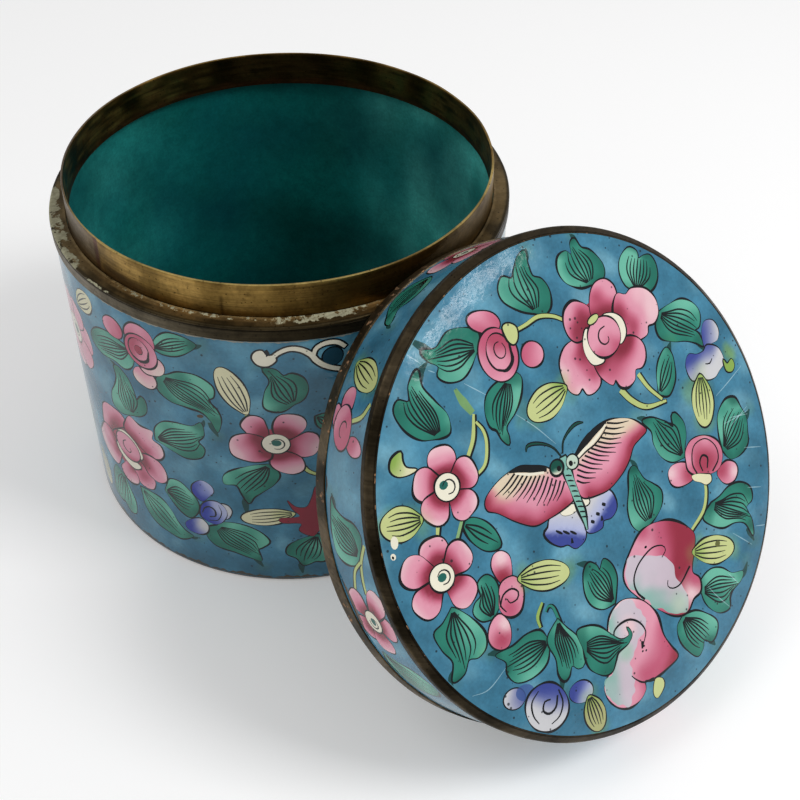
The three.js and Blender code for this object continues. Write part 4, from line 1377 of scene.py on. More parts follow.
def lid_face(shell, draw):
    chart = Chart(hold_on_disc)
    lid_face_picture(chart)
    turn = LID_SEAM + 2 * math.pi * np.arange(ROUND_STEPS) / ROUND_STEPS
    boundary = np.stack([FACE_RADIUS * np.cos(turn), FACE_RADIUS * np.sin(turn)], 1)
    rings = [FACE_RADIUS - d for d in (0.12, 0.35, 0.7, 1.15)]
    rings += list(np.arange(FACE_RADIUS - 1.8, 0.3, -0.75))
    inner = [np.zeros((1, 2))]
    for ring in rings:
        count = max(6, round(2 * math.pi * ring / 0.75))
        angle = 2 * math.pi * (np.arange(count) + draw.uniform()) / count
        inner.append(np.stack([ring * np.cos(angle), ring * np.sin(angle)], 1))
    flat, faces, paints = painted_faces(chart, boundary, np.vstack(inner), blue_ground(31))
    height = face_height(np.linalg.norm(flat, axis=1))
    shell.add(to_world(np.column_stack([flat, height]), True), faces, paints)


def side_skin(shell, chart, left, chart_radius, low, high,
              rows, radius_at, leaning, seed, draw, pitch, painted_shade=1.0):
    """The painted side of the jar or the lid, wrapped round from its flat chart."""
    width = 2 * math.pi * chart_radius
    columns = left + width * np.arange(ROUND_STEPS + 1) / ROUND_STEPS
    heights = np.linspace(low, high, rows + 1)
    boundary = [(s, low) for s in columns] + [(columns[-1], h) for h in heights[1:-1]]
    boundary += [(s, high) for s in columns[::-1]] + [(columns[0], h) for h in heights[-2:0:-1]]
    inner = []
    for i, h in enumerate(np.arange(low + pitch, high - pitch * 0.5, pitch * 0.87)):
        line = np.arange(left + pitch, left + width - pitch * 0.5, pitch) + (i % 2) * pitch / 2
        inner.append(np.stack([line, np.full(len(line), h)], 1))
    inner = np.vstack(inner)
    inner += draw.uniform(-0.04, 0.04, inner.shape)
    flat, faces, paints = painted_faces(chart, boundary, inner, round_ground(seed, left, width))
    angle = flat[:, 0] / chart_radius
    angle = np.where(np.abs(flat[:, 0] - columns[-1]) < 1e-6, left / chart_radius, angle)
    radius = radius_at(flat[:, 1])
    places = np.stack([radius * np.cos(angle), radius * np.sin(angle), flat[:, 1]], 1)
    # Painted shade: the paints are darkened all over by this factor
    paints[..., :3] *= painted_shade
    shell.add(to_world(places, leaning), faces, paints)


def jar_outer_radius(height):
    return BODY_RADIUS + (FOOT_RADIUS - BODY_RADIUS) * (1 - np.asarray(height) / BODY_HEIGHT)


def lid_outer_radius(height):
    return np.full(np.shape(height), LID_SIDE_RADIUS)


# Materials
class Nodes:
    """A short way to write a material's nodes."""

    def __init__(self, name):
        self.material = bpy.data.materials.new(name)
        self.material.use_nodes = True
        self.tree = self.material.node_tree
        self.tree.nodes.clear()
        self.output = self.add("ShaderNodeOutputMaterial")
        self.shader = self.add("ShaderNodeBsdfPrincipled")
        self.join(self.shader, "BSDF", self.output, "Surface")
        self.place = self.add("ShaderNodeTexCoord")
        self.paint = self.add("ShaderNodeAttribute", attribute_name="paint")
        self.mask = (self.paint, "Alpha")

    def add(self, kind, **settings):
        node = self.tree.nodes.new(kind)
        for key, value in settings.items():
            setattr(node, key, value)
        return node

    def join(self, source, output, target, socket):
        self.tree.links.new(source.outputs[output], target.inputs[socket])

    def put(self, node, socket, value):
        if isinstance(value, tuple) and len(value) == 2 and isinstance(value[0], bpy.types.Node):
            self.join(value[0], value[1], node, socket)
        else:
            node.inputs[socket].default_value = value

    def mapped(self, scale, lean=0.0):
        node = self.add("ShaderNodeMapping")
        node.inputs["Scale"].default_value = scale
        node.inputs["Rotation"].default_value = (lean, 0, 0)
        self.join(self.place, "Object", node, "Vector")
        return (node, "Vector")

    def toned(self, amount):
        """The mesh's own paint made lighter or darker by an amount."""
        node = self.add("ShaderNodeVectorMath", operation="SCALE")
        self.join(self.paint, "Color", node, 0)
        self.put(node, "Scale", amount)
        return (node, "Vector")

    def cells(self, scale):
        """How far a place is from the nearest of many scattered points."""
        node = self.add("ShaderNodeTexVoronoi")
        node.inputs["Scale"].default_value = scale
        self.join(self.place, "Object", node, "Vector")
        return (node, "Distance")

    def noise(self, scale, detail=3.0, roughness=0.55, vector=None):
        node = self.add("ShaderNodeTexNoise")
        self.put(node, "Vector", vector or (self.place, "Object"))
        node.inputs["Scale"].default_value = scale
        node.inputs["Detail"].default_value = detail
        node.inputs["Roughness"].default_value = roughness
        return (node, "Fac")

    def math(self, kind, first, second=0.0, third=0.0):
        node = self.add("ShaderNodeMath", operation=kind)
        for i, value in enumerate((first, second, third)):
            self.put(node, i, value)
        return (node, 0)

    def span(self, value, low, high, to_low=0.0, to_high=1.0):
        node = self.add("ShaderNodeMapRange")
        sockets = ("Value", "From Min", "From Max", "To Min", "To Max")
        for socket, item in zip(sockets, (value, low, high, to_low, to_high)):
            self.put(node, socket, item)
        return (node, "Result")

    def blend(self, share, first, second):
        node = self.add("ShaderNodeMix", data_type="RGBA")
        self.put(node, 0, share)
        self.put(node, 6, first)
        self.put(node, 7, second)
        return (node, 2)

    def bump(self, height, distance, strength=1.0):
        node = self.add("ShaderNodeBump")
        node.inputs["Distance"].default_value = distance
        node.inputs["Strength"].default_value = strength
        self.put(node, "Height", height)
        self.join(node, "Normal", self.shader, "Normal")


def linear(code):
    return (*map(float, as_light(rgb(code))), 1.0)


def enamel_material():
    """Painted enamel under a clear glaze: clouded ground, fine specks and small black pits."""
    n = Nodes("painted_enamel")
    cloud = n.noise(110, 4, 0.6)
    speck = n.noise(1500, 2, 0.6)
    grain = n.noise(420, 3, 0.6)
    shade = n.span(cloud, 0.3, 0.7, 0.8, 1.2)
    fine = n.span(grain, 0.25, 0.75, 0.9, 1.1)
    dots = n.span(speck, 0.25, 0.75, 0.9, 1.1)
    both = n.math("MULTIPLY", n.math("MULTIPLY", shade, fine), dots)
    calm = n.span(cloud, 0.3, 0.7, 0.95, 1.05)
    amount = n.math("MULTIPLY_ADD", n.math("SUBTRACT", both, calm), n.mask, calm)
    room = n.math("SUBTRACT", n.cells(520), n.span(cloud, 0.35, 0.65, 0.12, 0.01))
    pit = n.span(room, 0.0, 0.05, 0.85, 0.0)
    n.put(n.shader, "Base Color", n.blend(pit, n.toned(amount), (0.01, 0.015, 0.02, 1)))
    n.put(n.shader, "Roughness", n.span(grain, 0.3, 0.7, 0.09, 0.15))
    n.shader.inputs["Specular IOR Level"].default_value = 0.32
    relief = n.math("ADD", n.math("MULTIPLY", cloud, 0.7), n.math("MULTIPLY", grain, 0.06))
    n.bump(relief, 0.0006, 0.35)
    return n.material


def turquoise_material():
    """The plain enamel inside: clouded blue green with a soft gloss."""
    n = Nodes("turquoise_enamel")
    cloud = n.noise(75, 5, 0.62)
    grain = n.noise(420, 3, 0.6)
    speck = n.noise(1700, 2, 0.6)
    amount = n.math("MULTIPLY", n.span(cloud, 0.3, 0.7, 0.76, 1.24), n.span(grain, 0.3, 0.7, 0.88, 1.12))
    amount = n.math("MULTIPLY", amount, n.span(speck, 0.3, 0.7, 0.85, 1.15))
    hue = n.span(n.noise(48, 3, 0.5), 0.35, 0.65, 0.0, 0.28)
    n.put(n.shader, "Base Color", n.blend(hue, n.toned(amount), linear("#0b4f63")))
    n.put(n.shader, "Roughness", n.span(grain, 0.3, 0.7, 0.3, 0.45))
    n.shader.inputs["Specular IOR Level"].default_value = 0.2
    n.bump(n.math("ADD", cloud, n.math("MULTIPLY", grain, 0.2)), 0.0004, 0.4)
    return n.material


def metal_material(name, streak, dark, rough, crust_code, lean=0.0):
    """Old metal: drawn lines, dark stains, small pits, and crust where the paint's mask says so."""
    n = Nodes(name)
    flake = n.noise(750, 4, 0.65)
    crust = n.span(n.math("ADD", n.mask, n.span(flake, 0.3, 0.7, -0.45, 0.45)), 0.5, 0.62)
    lines = n.noise(1.0, 3, 0.6, n.mapped((60, 60, streak), lean))
    stain = n.noise(190, 5, 0.65)
    grain = n.noise(1300, 3, 0.6)
    amount = n.math("MULTIPLY", n.span(lines, 0.3, 0.7, 0.72, 1.28), n.span(grain, 0.3, 0.7, 0.84, 1.16))
    stained = n.blend(n.span(stain, 0.5, 0.72, 0.0, 0.55), n.toned(amount), linear(dark))
    pit = n.span(n.cells(800), 0.1, 0.16, 0.7, 0.0)
    bare = n.blend(pit, stained, linear(dark))
    shade = n.blend(grain, linear(crust_code), linear("#5d5642"))
    n.put(n.shader, "Base Color", n.blend(crust, bare, shade))
    n.put(n.shader, "Metallic", n.math("SUBTRACT", 1.0, crust))
    dull = n.span(stain, 0.3, 0.7, rough, rough + 0.2)
    n.put(n.shader, "Roughness", n.math("ADD", dull, n.math("MULTIPLY", crust, 0.4)))
    relief = n.math("ADD", n.math("MULTIPLY", lines, 0.25), n.math("MULTIPLY", grain, 0.5))
    n.bump(n.math("ADD", relief, crust), 0.00014, 0.6)
    return n.material


def worn_material():
    """Brown copper where the enamel has worn off an edge."""
    n = Nodes("worn_copper_edge")
    grain = n.noise(900, 4, 0.65)
    n.put(n.shader, "Base Color", n.toned(n.span(grain, 0.3, 0.7, 0.6, 1.3)))
    n.shader.inputs["Metallic"].default_value = 0.35
    n.put(n.shader, "Roughness", n.span(grain, 0.3, 0.7, 0.45, 0.7))
    n.bump(grain, 0.0002, 0.5)
    return n.material


ENAMEL = enamel_material()
TURQUOISE = turquoise_material()
WORN_EDGE = worn_material()
BRASS = metal_material("old_brass", 2600, "#2a1d0c", 0.34, "#a8905c")
BRONZE = metal_material("dark_bronze", 2000, "#120e08", 0.4, "#c6c4a4")
LID_BRONZE = metal_material("dark_bronze_lid", 2000, "#0d0a06", 0.4, "#c08a5e", -LEAN)


def finish_piece(piece, node):
    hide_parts(node)
    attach(piece, "root")
    return piece


# The jar's cup
INSIDE = rgb("#0a5a56")
# The paler paint of the painted light on the inside wall
INSIDE_PAINTED_LIGHT = rgb("#4fb0a8")
UNDERSIDE = rgb("#9fb9b4")
FLOOR_CROWN = 0.2
UNDER_HOLLOW = 0.25
UNDER_RING = 3.2
# The jar's paints are darkened all over, a little more than the lid's: painted shade
JAR_PAINTED_SHADE = 0.93


def make_cup():
    draw = np.random.default_rng(41)
    shell = Shell()
    side_skin(shell, jar_picture(), JAR_LEFT, JAR_CHART_RADIUS, JAR_LOW, JAR_HIGH, 84, jar_outer_radius,
        False, 51, draw, 1.0, JAR_PAINTED_SHADE)
    foot = FOOT_RADIUS
    slope = (foot - UNDER_RING - 1, 0.12)
    under = [(0, UNDER_HOLLOW), (foot - UNDER_RING - 2.8, UNDER_HOLLOW), slope]
    worn = [slope, (foot - UNDER_RING, 0.0), (foot - 2, 0.0)]
    worn += arc(foot - FOOT_ROUNDING, FOOT_ROUNDING, FOOT_ROUNDING, -90, 0, 6)[:-1]
    worn += [(float(jar_outer_radius(JAR_LOW)), JAR_LOW)]
    turned(shell, worn, JAR_SEAM, plain_paint(WORN), False, 2)
    turned(shell, under, JAR_SEAM, plain_paint(UNDERSIDE, 1.0), False, 1)
    neck = BAND_RADIUS - BAND_SHEET - SEAT_GAP
    wall_top = BODY_RADIUS - BODY_WALL
    wall_foot = FOOT_RADIUS - BODY_WALL
    rebate = [(BODY_RADIUS, BODY_HEIGHT), (neck, BODY_HEIGHT), (neck, NECK_TOP), (wall_top, NECK_TOP)]
    turned(shell, rebate, JAR_SEAM, plain_paint(WORN), False, 2)
    bend = (wall_foot, FLOOR_THICKNESS + FLOOR_ROUNDING)
    wall = [(wall_top, NECK_TOP)] + between((wall_top, NECK_TOP), bend, 14) + [bend]
    wall += arc(wall_foot - FLOOR_ROUNDING, FLOOR_THICKNESS + FLOOR_ROUNDING, FLOOR_ROUNDING, 0, -90, 8)[1:]
    middle = (0, FLOOR_THICKNESS + FLOOR_CROWN)
    wall += between(wall[-1], middle, 8) + [middle]
    turned(shell, wall, JAR_SEAM, inside_paint, False, 1)
    return finish_piece(shell.make("cup", [ENAMEL, TURQUOISE, WORN_EDGE]), "jar_body")


# The band round the jar's rim and its ledge
LEDGE_BROWN = rgb("#7d6a48")
LEDGE_GOLD = rgb("#b79a68")
BAND_GREY = rgb("#6e6656")
BAND_BLACK = rgb("#2a2418")
GROOVE_BLACK = rgb("#0f0c08")
BEAD_ROUNDING = 0.46
GROOVE_DROP = 0.66
GROOVE_CUT = 0.1
LEDGE_SAG = 0.12


def in_arc(turn, start, end, soft):
    """How far an angle lies inside an arc of the jar, from 0 outside to 1 inside."""
    degrees = (np.degrees(turn) + 540 - (start + end) / 2) % 360 - 180
    half = (end - start) / 2
    return ramp(half - np.abs(degrees), -soft, soft)


def make_rim_band():
    shell = Shell()
    top = LEDGE_HEIGHT
    low = BODY_HEIGHT + HAIR_GAP
    skirt = BAND_RADIUS - BAND_SHEET
    inner = COLLAR_RADIUS + HAIR_GAP
    profile = [(skirt, low), (BAND_RADIUS - 0.12, low), (BAND_RADIUS, low + 0.14)]
    face_top = (BAND_RADIUS, top - GROOVE_DROP - 0.09)
    profile += between((BAND_RADIUS, low + 0.14), face_top, 6)
    profile += [face_top, (BAND_RADIUS - GROOVE_CUT, top - GROOVE_DROP), (BAND_RADIUS - 0.04, top - 0.55)]
    bead = BAND_RADIUS - BEAD_ROUNDING - 0.04
    profile += arc(bead, top - BEAD_ROUNDING, BEAD_ROUNDING, 0, 90, 5)
    sag = (inner + 0.5, top - LEDGE_SAG)
    profile += between((bead, top), sag, 12) + [sag, (inner + 0.15, top), (inner, top - 0.05)]
    profile += [(inner, top - LEDGE_THICKNESS), (skirt, top - LEDGE_THICKNESS), (skirt, low)]

    def dents(radius, height, turn):
        spot = around(turn, RING_NOISE_RADIUS, height * 3)
        inset = BAND_RADIUS - radius
        upper = ramp(height, top - 0.5, top - 0.1)
        crusted = in_arc(turn, -217, -180, 3) * ramp(inset, 2.3, 1.3) * upper
        height = height - 0.025 * upper * (1 + waver(spot, 6, 62))
        height = height - 0.05 * upper * (1 - crusted) * ramp(waver(spot, 2.2, 61), 0.2, 1.0)
        return radius - 0.02 * (1 + waver(spot, 9, 63)), height

    def paint(places, turn):
        inset = BAND_RADIUS - np.linalg.norm(places[:, :2], axis=1)
        height = places[:, 2]
        patch = waver(places, 1.6, 64)
        broad = waver(places, 7.0, 65)
        face = mix(BAND_BLACK, BAND_GREY, in_arc(turn, -225, -150, 28))
        face = mix(face, BAND_BLACK, 0.25 * ramp(broad, 0, 1))
        ledge = mix(LEDGE_BROWN, BAND_BLACK, 0.5 * ramp(broad + 0.5 * patch, -0.2, 1.0))
        onto = ramp(height, top - 0.6, top - 0.35)
        colour = mix(face, ledge, onto)
        colour = mix(colour, BAND_BLACK, 0.75 * ramp(inset, 0.9, 0.4) * onto)
        groove = (1 - ramp(np.abs(height - (top - GROOVE_DROP)), 0.05, 0.16)) * 0.6
        colour = mix(colour, GROOVE_BLACK, groove)
        golden = in_arc(turn, -180, -90, 14) * (1 - ramp(np.abs(inset - 2.6), 0.3, 1.0)) * onto
        colour = mix(colour, LEDGE_GOLD, golden * (0.45 + 0.4 * ramp(patch, -0.6, 0.8)))

        # The pale crust: thick on the left, chips at the edge, and specks beside the collar
        gaps = 0.55 + 0.45 * ramp(waver(places, 3.2, 66), -0.5, 0.2)
        crust = in_arc(turn, -218, -182, 3) * ramp(inset - 0.4 * patch, 2.2, 1.2) * gaps
        wide = in_arc(turn, -210, -191, 5) * ramp(inset - 0.4 * patch, 3.0, 2.0) * gaps
        chips = in_arc(turn, -178, -165, 1.5) * ramp(inset, 0.5, 0.25) * ramp(patch, -0.4, 0.3) * 0.62
        specks = in_arc(turn, -172, -102, 10) * (1 - ramp(np.abs(inset - 2.8), 0.25, 0.9)) * 0.5
        strong = in_arc(turn, -129, -103, 5) * (1 - ramp(np.abs(inset - 2.7), 0.8, 2.0)) * 0.56
        return masked(colour, np.max([crust, wide, chips, specks, strong], axis=0) * onto)

    turned(shell, profile, JAR_SEAM, paint, False, 0, dents)
    return finish_piece(shell.make("rim_band", [BRONZE]), "jar_rim_band")


# The brass collar with its lap seam
BRASS_BRIGHT = rgb("#9d8048")
BRASS_DARK = rgb("#4d3b19")
BRASS_BROWN = rgb("#6d6050")
# The bright brass of the painted highlight on the collar's lip
BRASS_LIP_HIGHLIGHT = rgb("#d9bf78")
LAP_BROWN = rgb("#5a3a32")
FOOT_BROWN = rgb("#5b4420")
STAIN_BROWN = rgb("#57452c")
JOINT_BROWN = rgb("#3a2c14")
BACK_BROWN = rgb("#8f6c3a")
BACK_DARK = rgb("#4f3818")
BACK_BLACK = rgb("#2c2110")
DRAWN_DARK = rgb("#2a1e0c")
DRAWN_GOLD = rgb("#c29a54")
BACK_RUST = rgb("#6a3a22")
LAP_ANGLE = -176.5
LAP_STEP = 0.16
JOINT_ANGLE = -140.0
SHEET_EDGE = 0.04


def from_lap(turn):
    """How far round from the collar's lap seam an angle is, in degrees."""
    return (np.degrees(turn) - LAP_ANGLE + 540) % 360 - 180


def make_collar():
    shell = Shell()
    foot = COLLAR_FOOT
    outer = COLLAR_RADIUS - 0.02
    upper = COLLAR_RADIUS - COLLAR_TAPER - 0.02
    lip = COLLAR_SHEET / 4
    wall_top = COLLAR_TOP - lip
    profile = [(outer - COLLAR_SHEET, foot), (outer, foot), (outer, LEDGE_HEIGHT)]
    profile += between((outer, LEDGE_HEIGHT), (upper, wall_top), 12) + [(upper, wall_top)]
    profile += [(upper - SHEET_EDGE, COLLAR_TOP - SHEET_EDGE), (upper - lip, COLLAR_TOP)]
    back = upper - COLLAR_SHEET
    profile += [(back + lip, COLLAR_TOP), (back + SHEET_EDGE, COLLAR_TOP - SHEET_EDGE), (back, wall_top)]
    profile += between((back, wall_top), profile[0], 12) + [profile[0]]

    def shift(radius, height, turn):
        past = -from_lap(turn)
        lap = LAP_STEP * (ramp(past, -0.3, 0.3) - ramp(past, 0.3, 60))
        lap = lap * ramp(height, LEDGE_HEIGHT, LEDGE_HEIGHT + 0.3)
        outside = radius > COLLAR_RADIUS - COLLAR_SHEET * 0.6
        spot = around(turn, COLLAR_NOISE_RADIUS, height)
        dent = 0.05 * (1 + waver(spot, 11, 71))
        lift = 0.05 * (1 + waver(spot[..., :2], 14, 72)) * ramp(height, COLLAR_TOP - 0.5, COLLAR_TOP)
        return radius - np.where(outside, lap, 0) - dent, height - lift

    def paint(places, turn):
        radius = np.linalg.norm(places[:, :2], axis=1)
        height = places[:, 2]
        up = height - LEDGE_HEIGHT
        inner = ramp(-radius, -(COLLAR_RADIUS - 0.42), -(COLLAR_RADIUS - 0.52))
        inner = np.where(height > COLLAR_TOP - 0.1, 0, inner)
        broad = waver(places, 8.0, 73)
        patch = waver(places, 2.0, 74)
        past = -from_lap(turn)
        colour = mix(BRASS_BRIGHT, BRASS_DARK, 0.5 * ramp(broad + 0.4 * patch, -0.3, 1.0))
        # Darker on the arc beside the leaning lid: painted shade from the lid
        colour = mix(colour, BRASS_DARK, 0.45 * in_arc(turn, -138, -60, 12))
        colour = mix(colour, BRASS_DARK, 0.75 * in_arc(turn, -118, -50, 14))
        colour = mix(colour, BRASS_BROWN, ramp(past, -0.2, 0.4) * in_arc(turn, -250, -170, 25))
        colour = mix(colour, LAP_BROWN, 0.85 * ramp(past, 0.0, 0.4) * (1 - ramp(past, 1.6, 2.6)))
        colour = mix(colour, FOOT_BROWN, 0.6 * (1 - ramp(up, 0.2, 1.6 + 0.4 * patch.mean())))
        stain = in_arc(turn, -174, -160, 4) * (1 - ramp(up + 0.6 * patch, 1.4, 3))
        colour = mix(colour, STAIN_BROWN, 0.85 * stain)
        joint = (1 - ramp(np.abs(np.degrees(turn) - JOINT_ANGLE), 0.2, 0.5)) * (1 - ramp(up, 3, 5))
        colour = mix(colour, JOINT_BROWN, 0.7 * joint)
        back = mix(BACK_BROWN, BACK_DARK, ramp(broad, -0.4, 1.0))
        back = mix(back, BACK_BLACK, 0.6 * in_arc(turn, 30, 88, 20))
        drawn = waver(np.stack([turn * 7, height * 1.3], 1), 1.0, 75)
        back = mix(back, DRAWN_DARK, 0.5 * ramp(drawn, 0.0, 0.9))
        back = mix(back, DRAWN_GOLD, 0.55 * ramp(-drawn, 0.1, 0.9) * in_arc(turn, 80, 200, 25))
        back = mix(back, BACK_RUST, 0.7 * (1 - ramp(up + 0.4 * patch, -0.2, 1.2)))
        colour = mix(colour, back, inner)
        # A bright line along the top edge on the front: a painted highlight
        lip_highlight = 0.8 * ramp(height, COLLAR_TOP - 0.16, COLLAR_TOP - 0.06)
        colour = mix(colour, BRASS_LIP_HIGHLIGHT, lip_highlight * in_arc(turn, -195, -40, 12))
        return masked(colour, 0.0)

    turned(shell, profile, JAR_SEAM, paint, False, 0, shift)
    return finish_piece(shell.make("collar", [BRASS]), "jar_collar")


# The lid's shell
def make_lid_shell():
    draw = np.random.default_rng(43)
    shell = Shell()
    lid_face(shell, draw)
    side_skin(shell, lid_side_picture(), LID_LEFT, LID_SIDE_RADIUS, LID_LOW, LID_HIGH, 18, lid_outer_radius,
        True, 57, draw, 0.9)
    rebate = LID_RADIUS - RING_SHEET - SEAT_GAP
    ceiling = FACE_EDGE - LID_TOP
    under_ring = [(LID_SIDE_RADIUS, LID_HIGH), (rebate, LID_HIGH), (rebate, LID_SIDE_HEIGHT - SEAT_GAP)]
    under_ring += [(FACE_RADIUS, FACE_EDGE - RING_SHEET - SEAT_GAP), (FACE_RADIUS, FACE_EDGE)]
    turned(shell, under_ring, LID_SEAM, plain_paint(WORN), True, 2)
    foot = MOUTH_RING_FOOT + SEAT_GAP
    low_edge = [(LID_INNER_RADIUS, foot), (rebate, foot), (rebate, LID_LOW), (LID_SIDE_RADIUS, LID_LOW)]
    turned(shell, low_edge, LID_SEAM, plain_paint(WORN), True, 2)
    middle = (0, ceiling + CROWN_RISE)
    bend = LID_INNER_RADIUS - CEILING_ROUNDING
    inner = [middle] + between(middle, (bend, ceiling), 20)
    inner += arc(bend, ceiling - CEILING_ROUNDING, CEILING_ROUNDING, 90, 0, 8)
    inner += between((LID_INNER_RADIUS, ceiling - CEILING_ROUNDING), low_edge[0], 10) + [low_edge[0]]
    turned(shell, inner, LID_SEAM, plain_paint(INSIDE, 0.0, 14, 0.12), True, 1)
    return finish_piece(shell.make("lid_shell", [ENAMEL, TURQUOISE, WORN_EDGE]), "lid_body")


# The rings round the lid's top and mouth
RING_BROWN = rgb("#443b2d")
RING_BLACK = rgb("#211c13")
RING_RUBBED = rgb("#665a44")


def ring_paint(edge_radius, edge_height, copper_radius, lighter=1.0, copper=0.55):
    """Dark bronze with a rubbed edge and copper specks beside the enamel, painted lighter on the ring's
    upper side as painted light.
    """

    def paint(places, turn):
        radius = np.linalg.norm(places[:, :2], axis=1)
        broad = waver(places, 9.0, 81)
        patch = waver(places, 1.3, 82)
        colour = mix(RING_BLACK, RING_BROWN, ramp(broad, -0.9, 0.9))
        # Lighter brown on the ring's upper side: painted light from above
        colour = mix(colour, RING_BROWN, 0.7 * in_arc(turn, 30, 130, 30)) * lighter
        line = 1 - ramp(np.abs(radius - (copper_radius + 0.18)), 0.04, 0.14)
        colour = colour * (1 - 0.55 * line[:, None])
        near = np.hypot(radius - edge_radius, places[:, 2] - edge_height)
        colour = mix(colour, RING_RUBBED, (1 - ramp(near, 0.08, 0.3)) * ramp(patch + broad, -1.2, 0.8)
            * 0.7)
        specks = (1 - ramp(np.abs(radius - copper_radius), 0.05, 0.22)) * ramp(patch, -0.1, 0.5)
        return masked(colour, copper * specks * in_arc(turn, 60, 200, 20))

    return paint


def make_top_ring():
    shell = Shell()
    low = LID_HIGH + HAIR_GAP
    inner = FACE_RADIUS + HAIR_GAP
    skirt = LID_RADIUS - RING_SHEET
    side, top = LID_RADIUS, LID_SIDE_HEIGHT
    profile = [(skirt, low), (side - 0.1, low), (side, low + 0.1), (side, top - 0.5), (side, top - 0.25)]
    corner = (side - 0.2, top + 0.1)
    crest = (side - BEVEL_WIDTH, FACE_EDGE - 0.04)
    profile += [(side - 0.06, top - 0.08), corner] + between(corner, crest, 5) + [crest]
    profile += [(crest[0] - 0.12, FACE_EDGE), (inner, FACE_EDGE - 0.06), (inner, FACE_EDGE - 0.5)]
    profile += [(crest[0] + 0.1, FACE_EDGE - RING_SHEET), (skirt, top - SEAT_GAP / 2), (skirt, low)]

    def shift(radius, height, turn):
        spot = around(turn, RING_NOISE_RADIUS, height)
        dent = 0.025 * (1 + waver(spot, 5, 83)) * ramp(LID_RADIUS - radius, 0.3, 0.0)
        return radius - dent, height - 0.02 * (1 + waver(spot, 7, 84))

    turned(shell, profile, LID_SEAM, ring_paint(LID_RADIUS, LID_SIDE_HEIGHT, inner + 0.1), True, 0, shift)
    return finish_piece(shell.make("top_ring", [LID_BRONZE]), "lid_top_ring")


def make_mouth_ring():
    shell = Shell()
    top = MOUTH_RING_HEIGHT + SEAT_GAP - HAIR_GAP
    skirt = LID_RADIUS - RING_SHEET
    rounding = MOUTH_ROUNDING
    edge = 0.12
    start = (LID_INNER_RADIUS, edge)
    profile = [start, (LID_INNER_RADIUS + edge, 0)]
    profile += between(profile[-1], (LID_RADIUS - rounding, 0), 3)
    profile += arc(LID_RADIUS - rounding, rounding, rounding, -90, 0, 6)
    upper = (LID_RADIUS, top - 0.15)
    profile += between((LID_RADIUS, rounding), upper, 6) + [upper, (LID_RADIUS - edge, top), (skirt, top)]
    profile += [(skirt, MOUTH_RING_FOOT), (LID_INNER_RADIUS, MOUTH_RING_FOOT), start]

    def shift(radius, height, turn):
        spot = around(turn, RING_NOISE_RADIUS, height)
        return radius - 0.03 * (1 + waver(spot, 6, 85)) * ramp(LID_RADIUS - radius, 0.3, 0.0), height

    paint = ring_paint(LID_RADIUS - 0.1, 0.2, LID_RADIUS - 0.05, 1.5, 0.4)
    turned(shell, profile, LID_SEAM, paint, True, 0, shift)
    return finish_piece(shell.make("mouth_ring", [LID_BRONZE]), "lid_mouth_ring")


make_cup()
make_rim_band()
make_collar()
make_lid_shell()
make_top_ring()
make_mouth_ring()


# The stage: a plain pale floor, soft lights and the camera
FLOOR_HALF = 3.0
FLOOR_WHITE = (0.9, 0.9, 0.9, 1)
FLOOR_GLOW = 0.17
WORLD_LIGHT = 0.5


def make_floor():
    mesh = bpy.data.meshes.new("floor")
    half = FLOOR_HALF
    corners = [(-half, -half, 0), (half, -half, 0), (half, half, 0), (-half, half, 0)]
    mesh.from_pydata(corners, [], [(0, 1, 2, 3)])
    material = bpy.data.materials.new("pale_floor")
    material.use_nodes = True
    shader = material.node_tree.nodes["Principled BSDF"]
    shader.inputs["Base Color"].default_value = FLOOR_WHITE
    shader.inputs["Roughness"].default_value = 0.8
    shader.inputs["Emission Color"].default_value = (1, 1, 1, 1)
    shader.inputs["Emission Strength"].default_value = FLOOR_GLOW
    mesh.materials.append(material)
    floor = bpy.data.objects.new("floor", mesh)
    bpy.context.scene.collection.objects.link(floor)


def soft_light(name, place, aim, width, height, power):
    data = bpy.data.lights.new(name, "AREA")
    data.energy = power
    data.shape = "RECTANGLE"
    data.size = width
    data.size_y = height
    light = bpy.data.objects.new(name, data)
    light.location = place
    light.rotation_mode = "QUATERNION"
    light.rotation_quaternion = (Vector(aim) - Vector(place)).to_track_quat("-Z", "Y")
    bpy.context.scene.collection.objects.link(light)


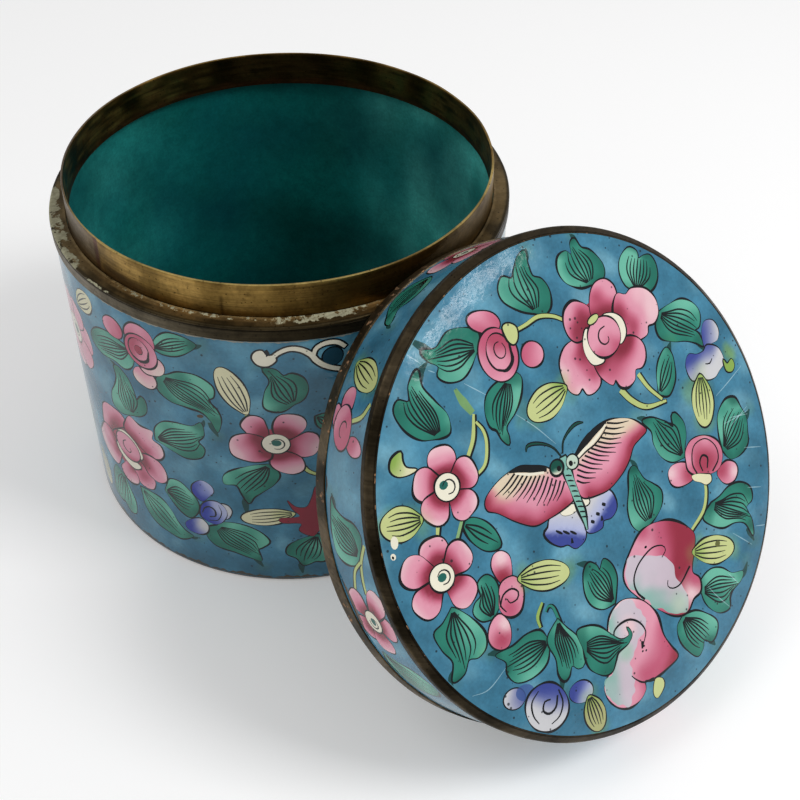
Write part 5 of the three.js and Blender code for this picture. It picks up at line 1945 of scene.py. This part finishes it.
def toward(azimuth, height, reach):
    """A place seen from the object at an azimuth from +Y towards +X and a height, in degrees."""
    a, h = math.radians(azimuth), math.radians(height)
    flat = reach * math.cos(h)
    return (flat * math.sin(a), flat * math.cos(a), reach * math.sin(h))


def make_lights():
    middle = (0.0, -0.05, 0.04)
    lid_top = (-0.02, -0.06, 0.07)
    soft_light("key", toward(150, 50, 0.85), middle, 0.26, 0.26, 2.8)
    soft_light("strip", toward(147.6, 33.4, 0.97), lid_top, 0.24, 0.032, 0.32)
    soft_light("left_fill", toward(-75, 60, 0.9), middle, 0.3, 0.5, 1.0)
    world = bpy.data.worlds.new("studio")
    world.use_nodes = True
    background = world.node_tree.nodes["Background"]
    background.inputs["Color"].default_value = (1, 1, 1, 1)
    background.inputs["Strength"].default_value = WORLD_LIGHT
    bpy.context.scene.world = world
    bpy.context.scene.view_settings.view_transform = "Standard"


# The camera, as fitted to the photograph: its place in metres and its angles in degrees
CAMERA_PLACE = (-0.12205, -0.18427, 0.21380)
CAMERA_HEADING = 40.0
CAMERA_DROP = 42.88
CAMERA_ROLL = 0.30
FOCAL_PIXELS = 1238.4
PHOTO_PIXELS = 800
SENSOR = 36.0


def make_camera():
    heading, drop, roll = map(math.radians, (CAMERA_HEADING, CAMERA_DROP, CAMERA_ROLL))
    forward = Vector((math.sin(heading) * math.cos(drop), math.cos(heading) * math.cos(drop),
        -math.sin(drop)))
    right = Vector((math.cos(heading), -math.sin(heading), 0))
    up = right.cross(forward)
    turned_right = right * math.cos(roll) + up * math.sin(roll)
    turned_up = up * math.cos(roll) - right * math.sin(roll)
    data = bpy.data.cameras.new("camera")
    data.sensor_width = SENSOR
    data.lens = SENSOR * FOCAL_PIXELS / PHOTO_PIXELS
    data.clip_start = 0.01
    data.clip_end = 20
    camera = bpy.data.objects.new("camera", data)
    matrix = camera.matrix_world.copy()
    for i in range(3):
        matrix[i][0], matrix[i][1], matrix[i][2] = turned_right[i], turned_up[i], -forward[i]
        matrix[i][3] = CAMERA_PLACE[i]
    camera.matrix_world = matrix
    bpy.context.scene.collection.objects.link(camera)
    bpy.context.scene.camera = camera


make_floor()
make_lights()
make_camera()
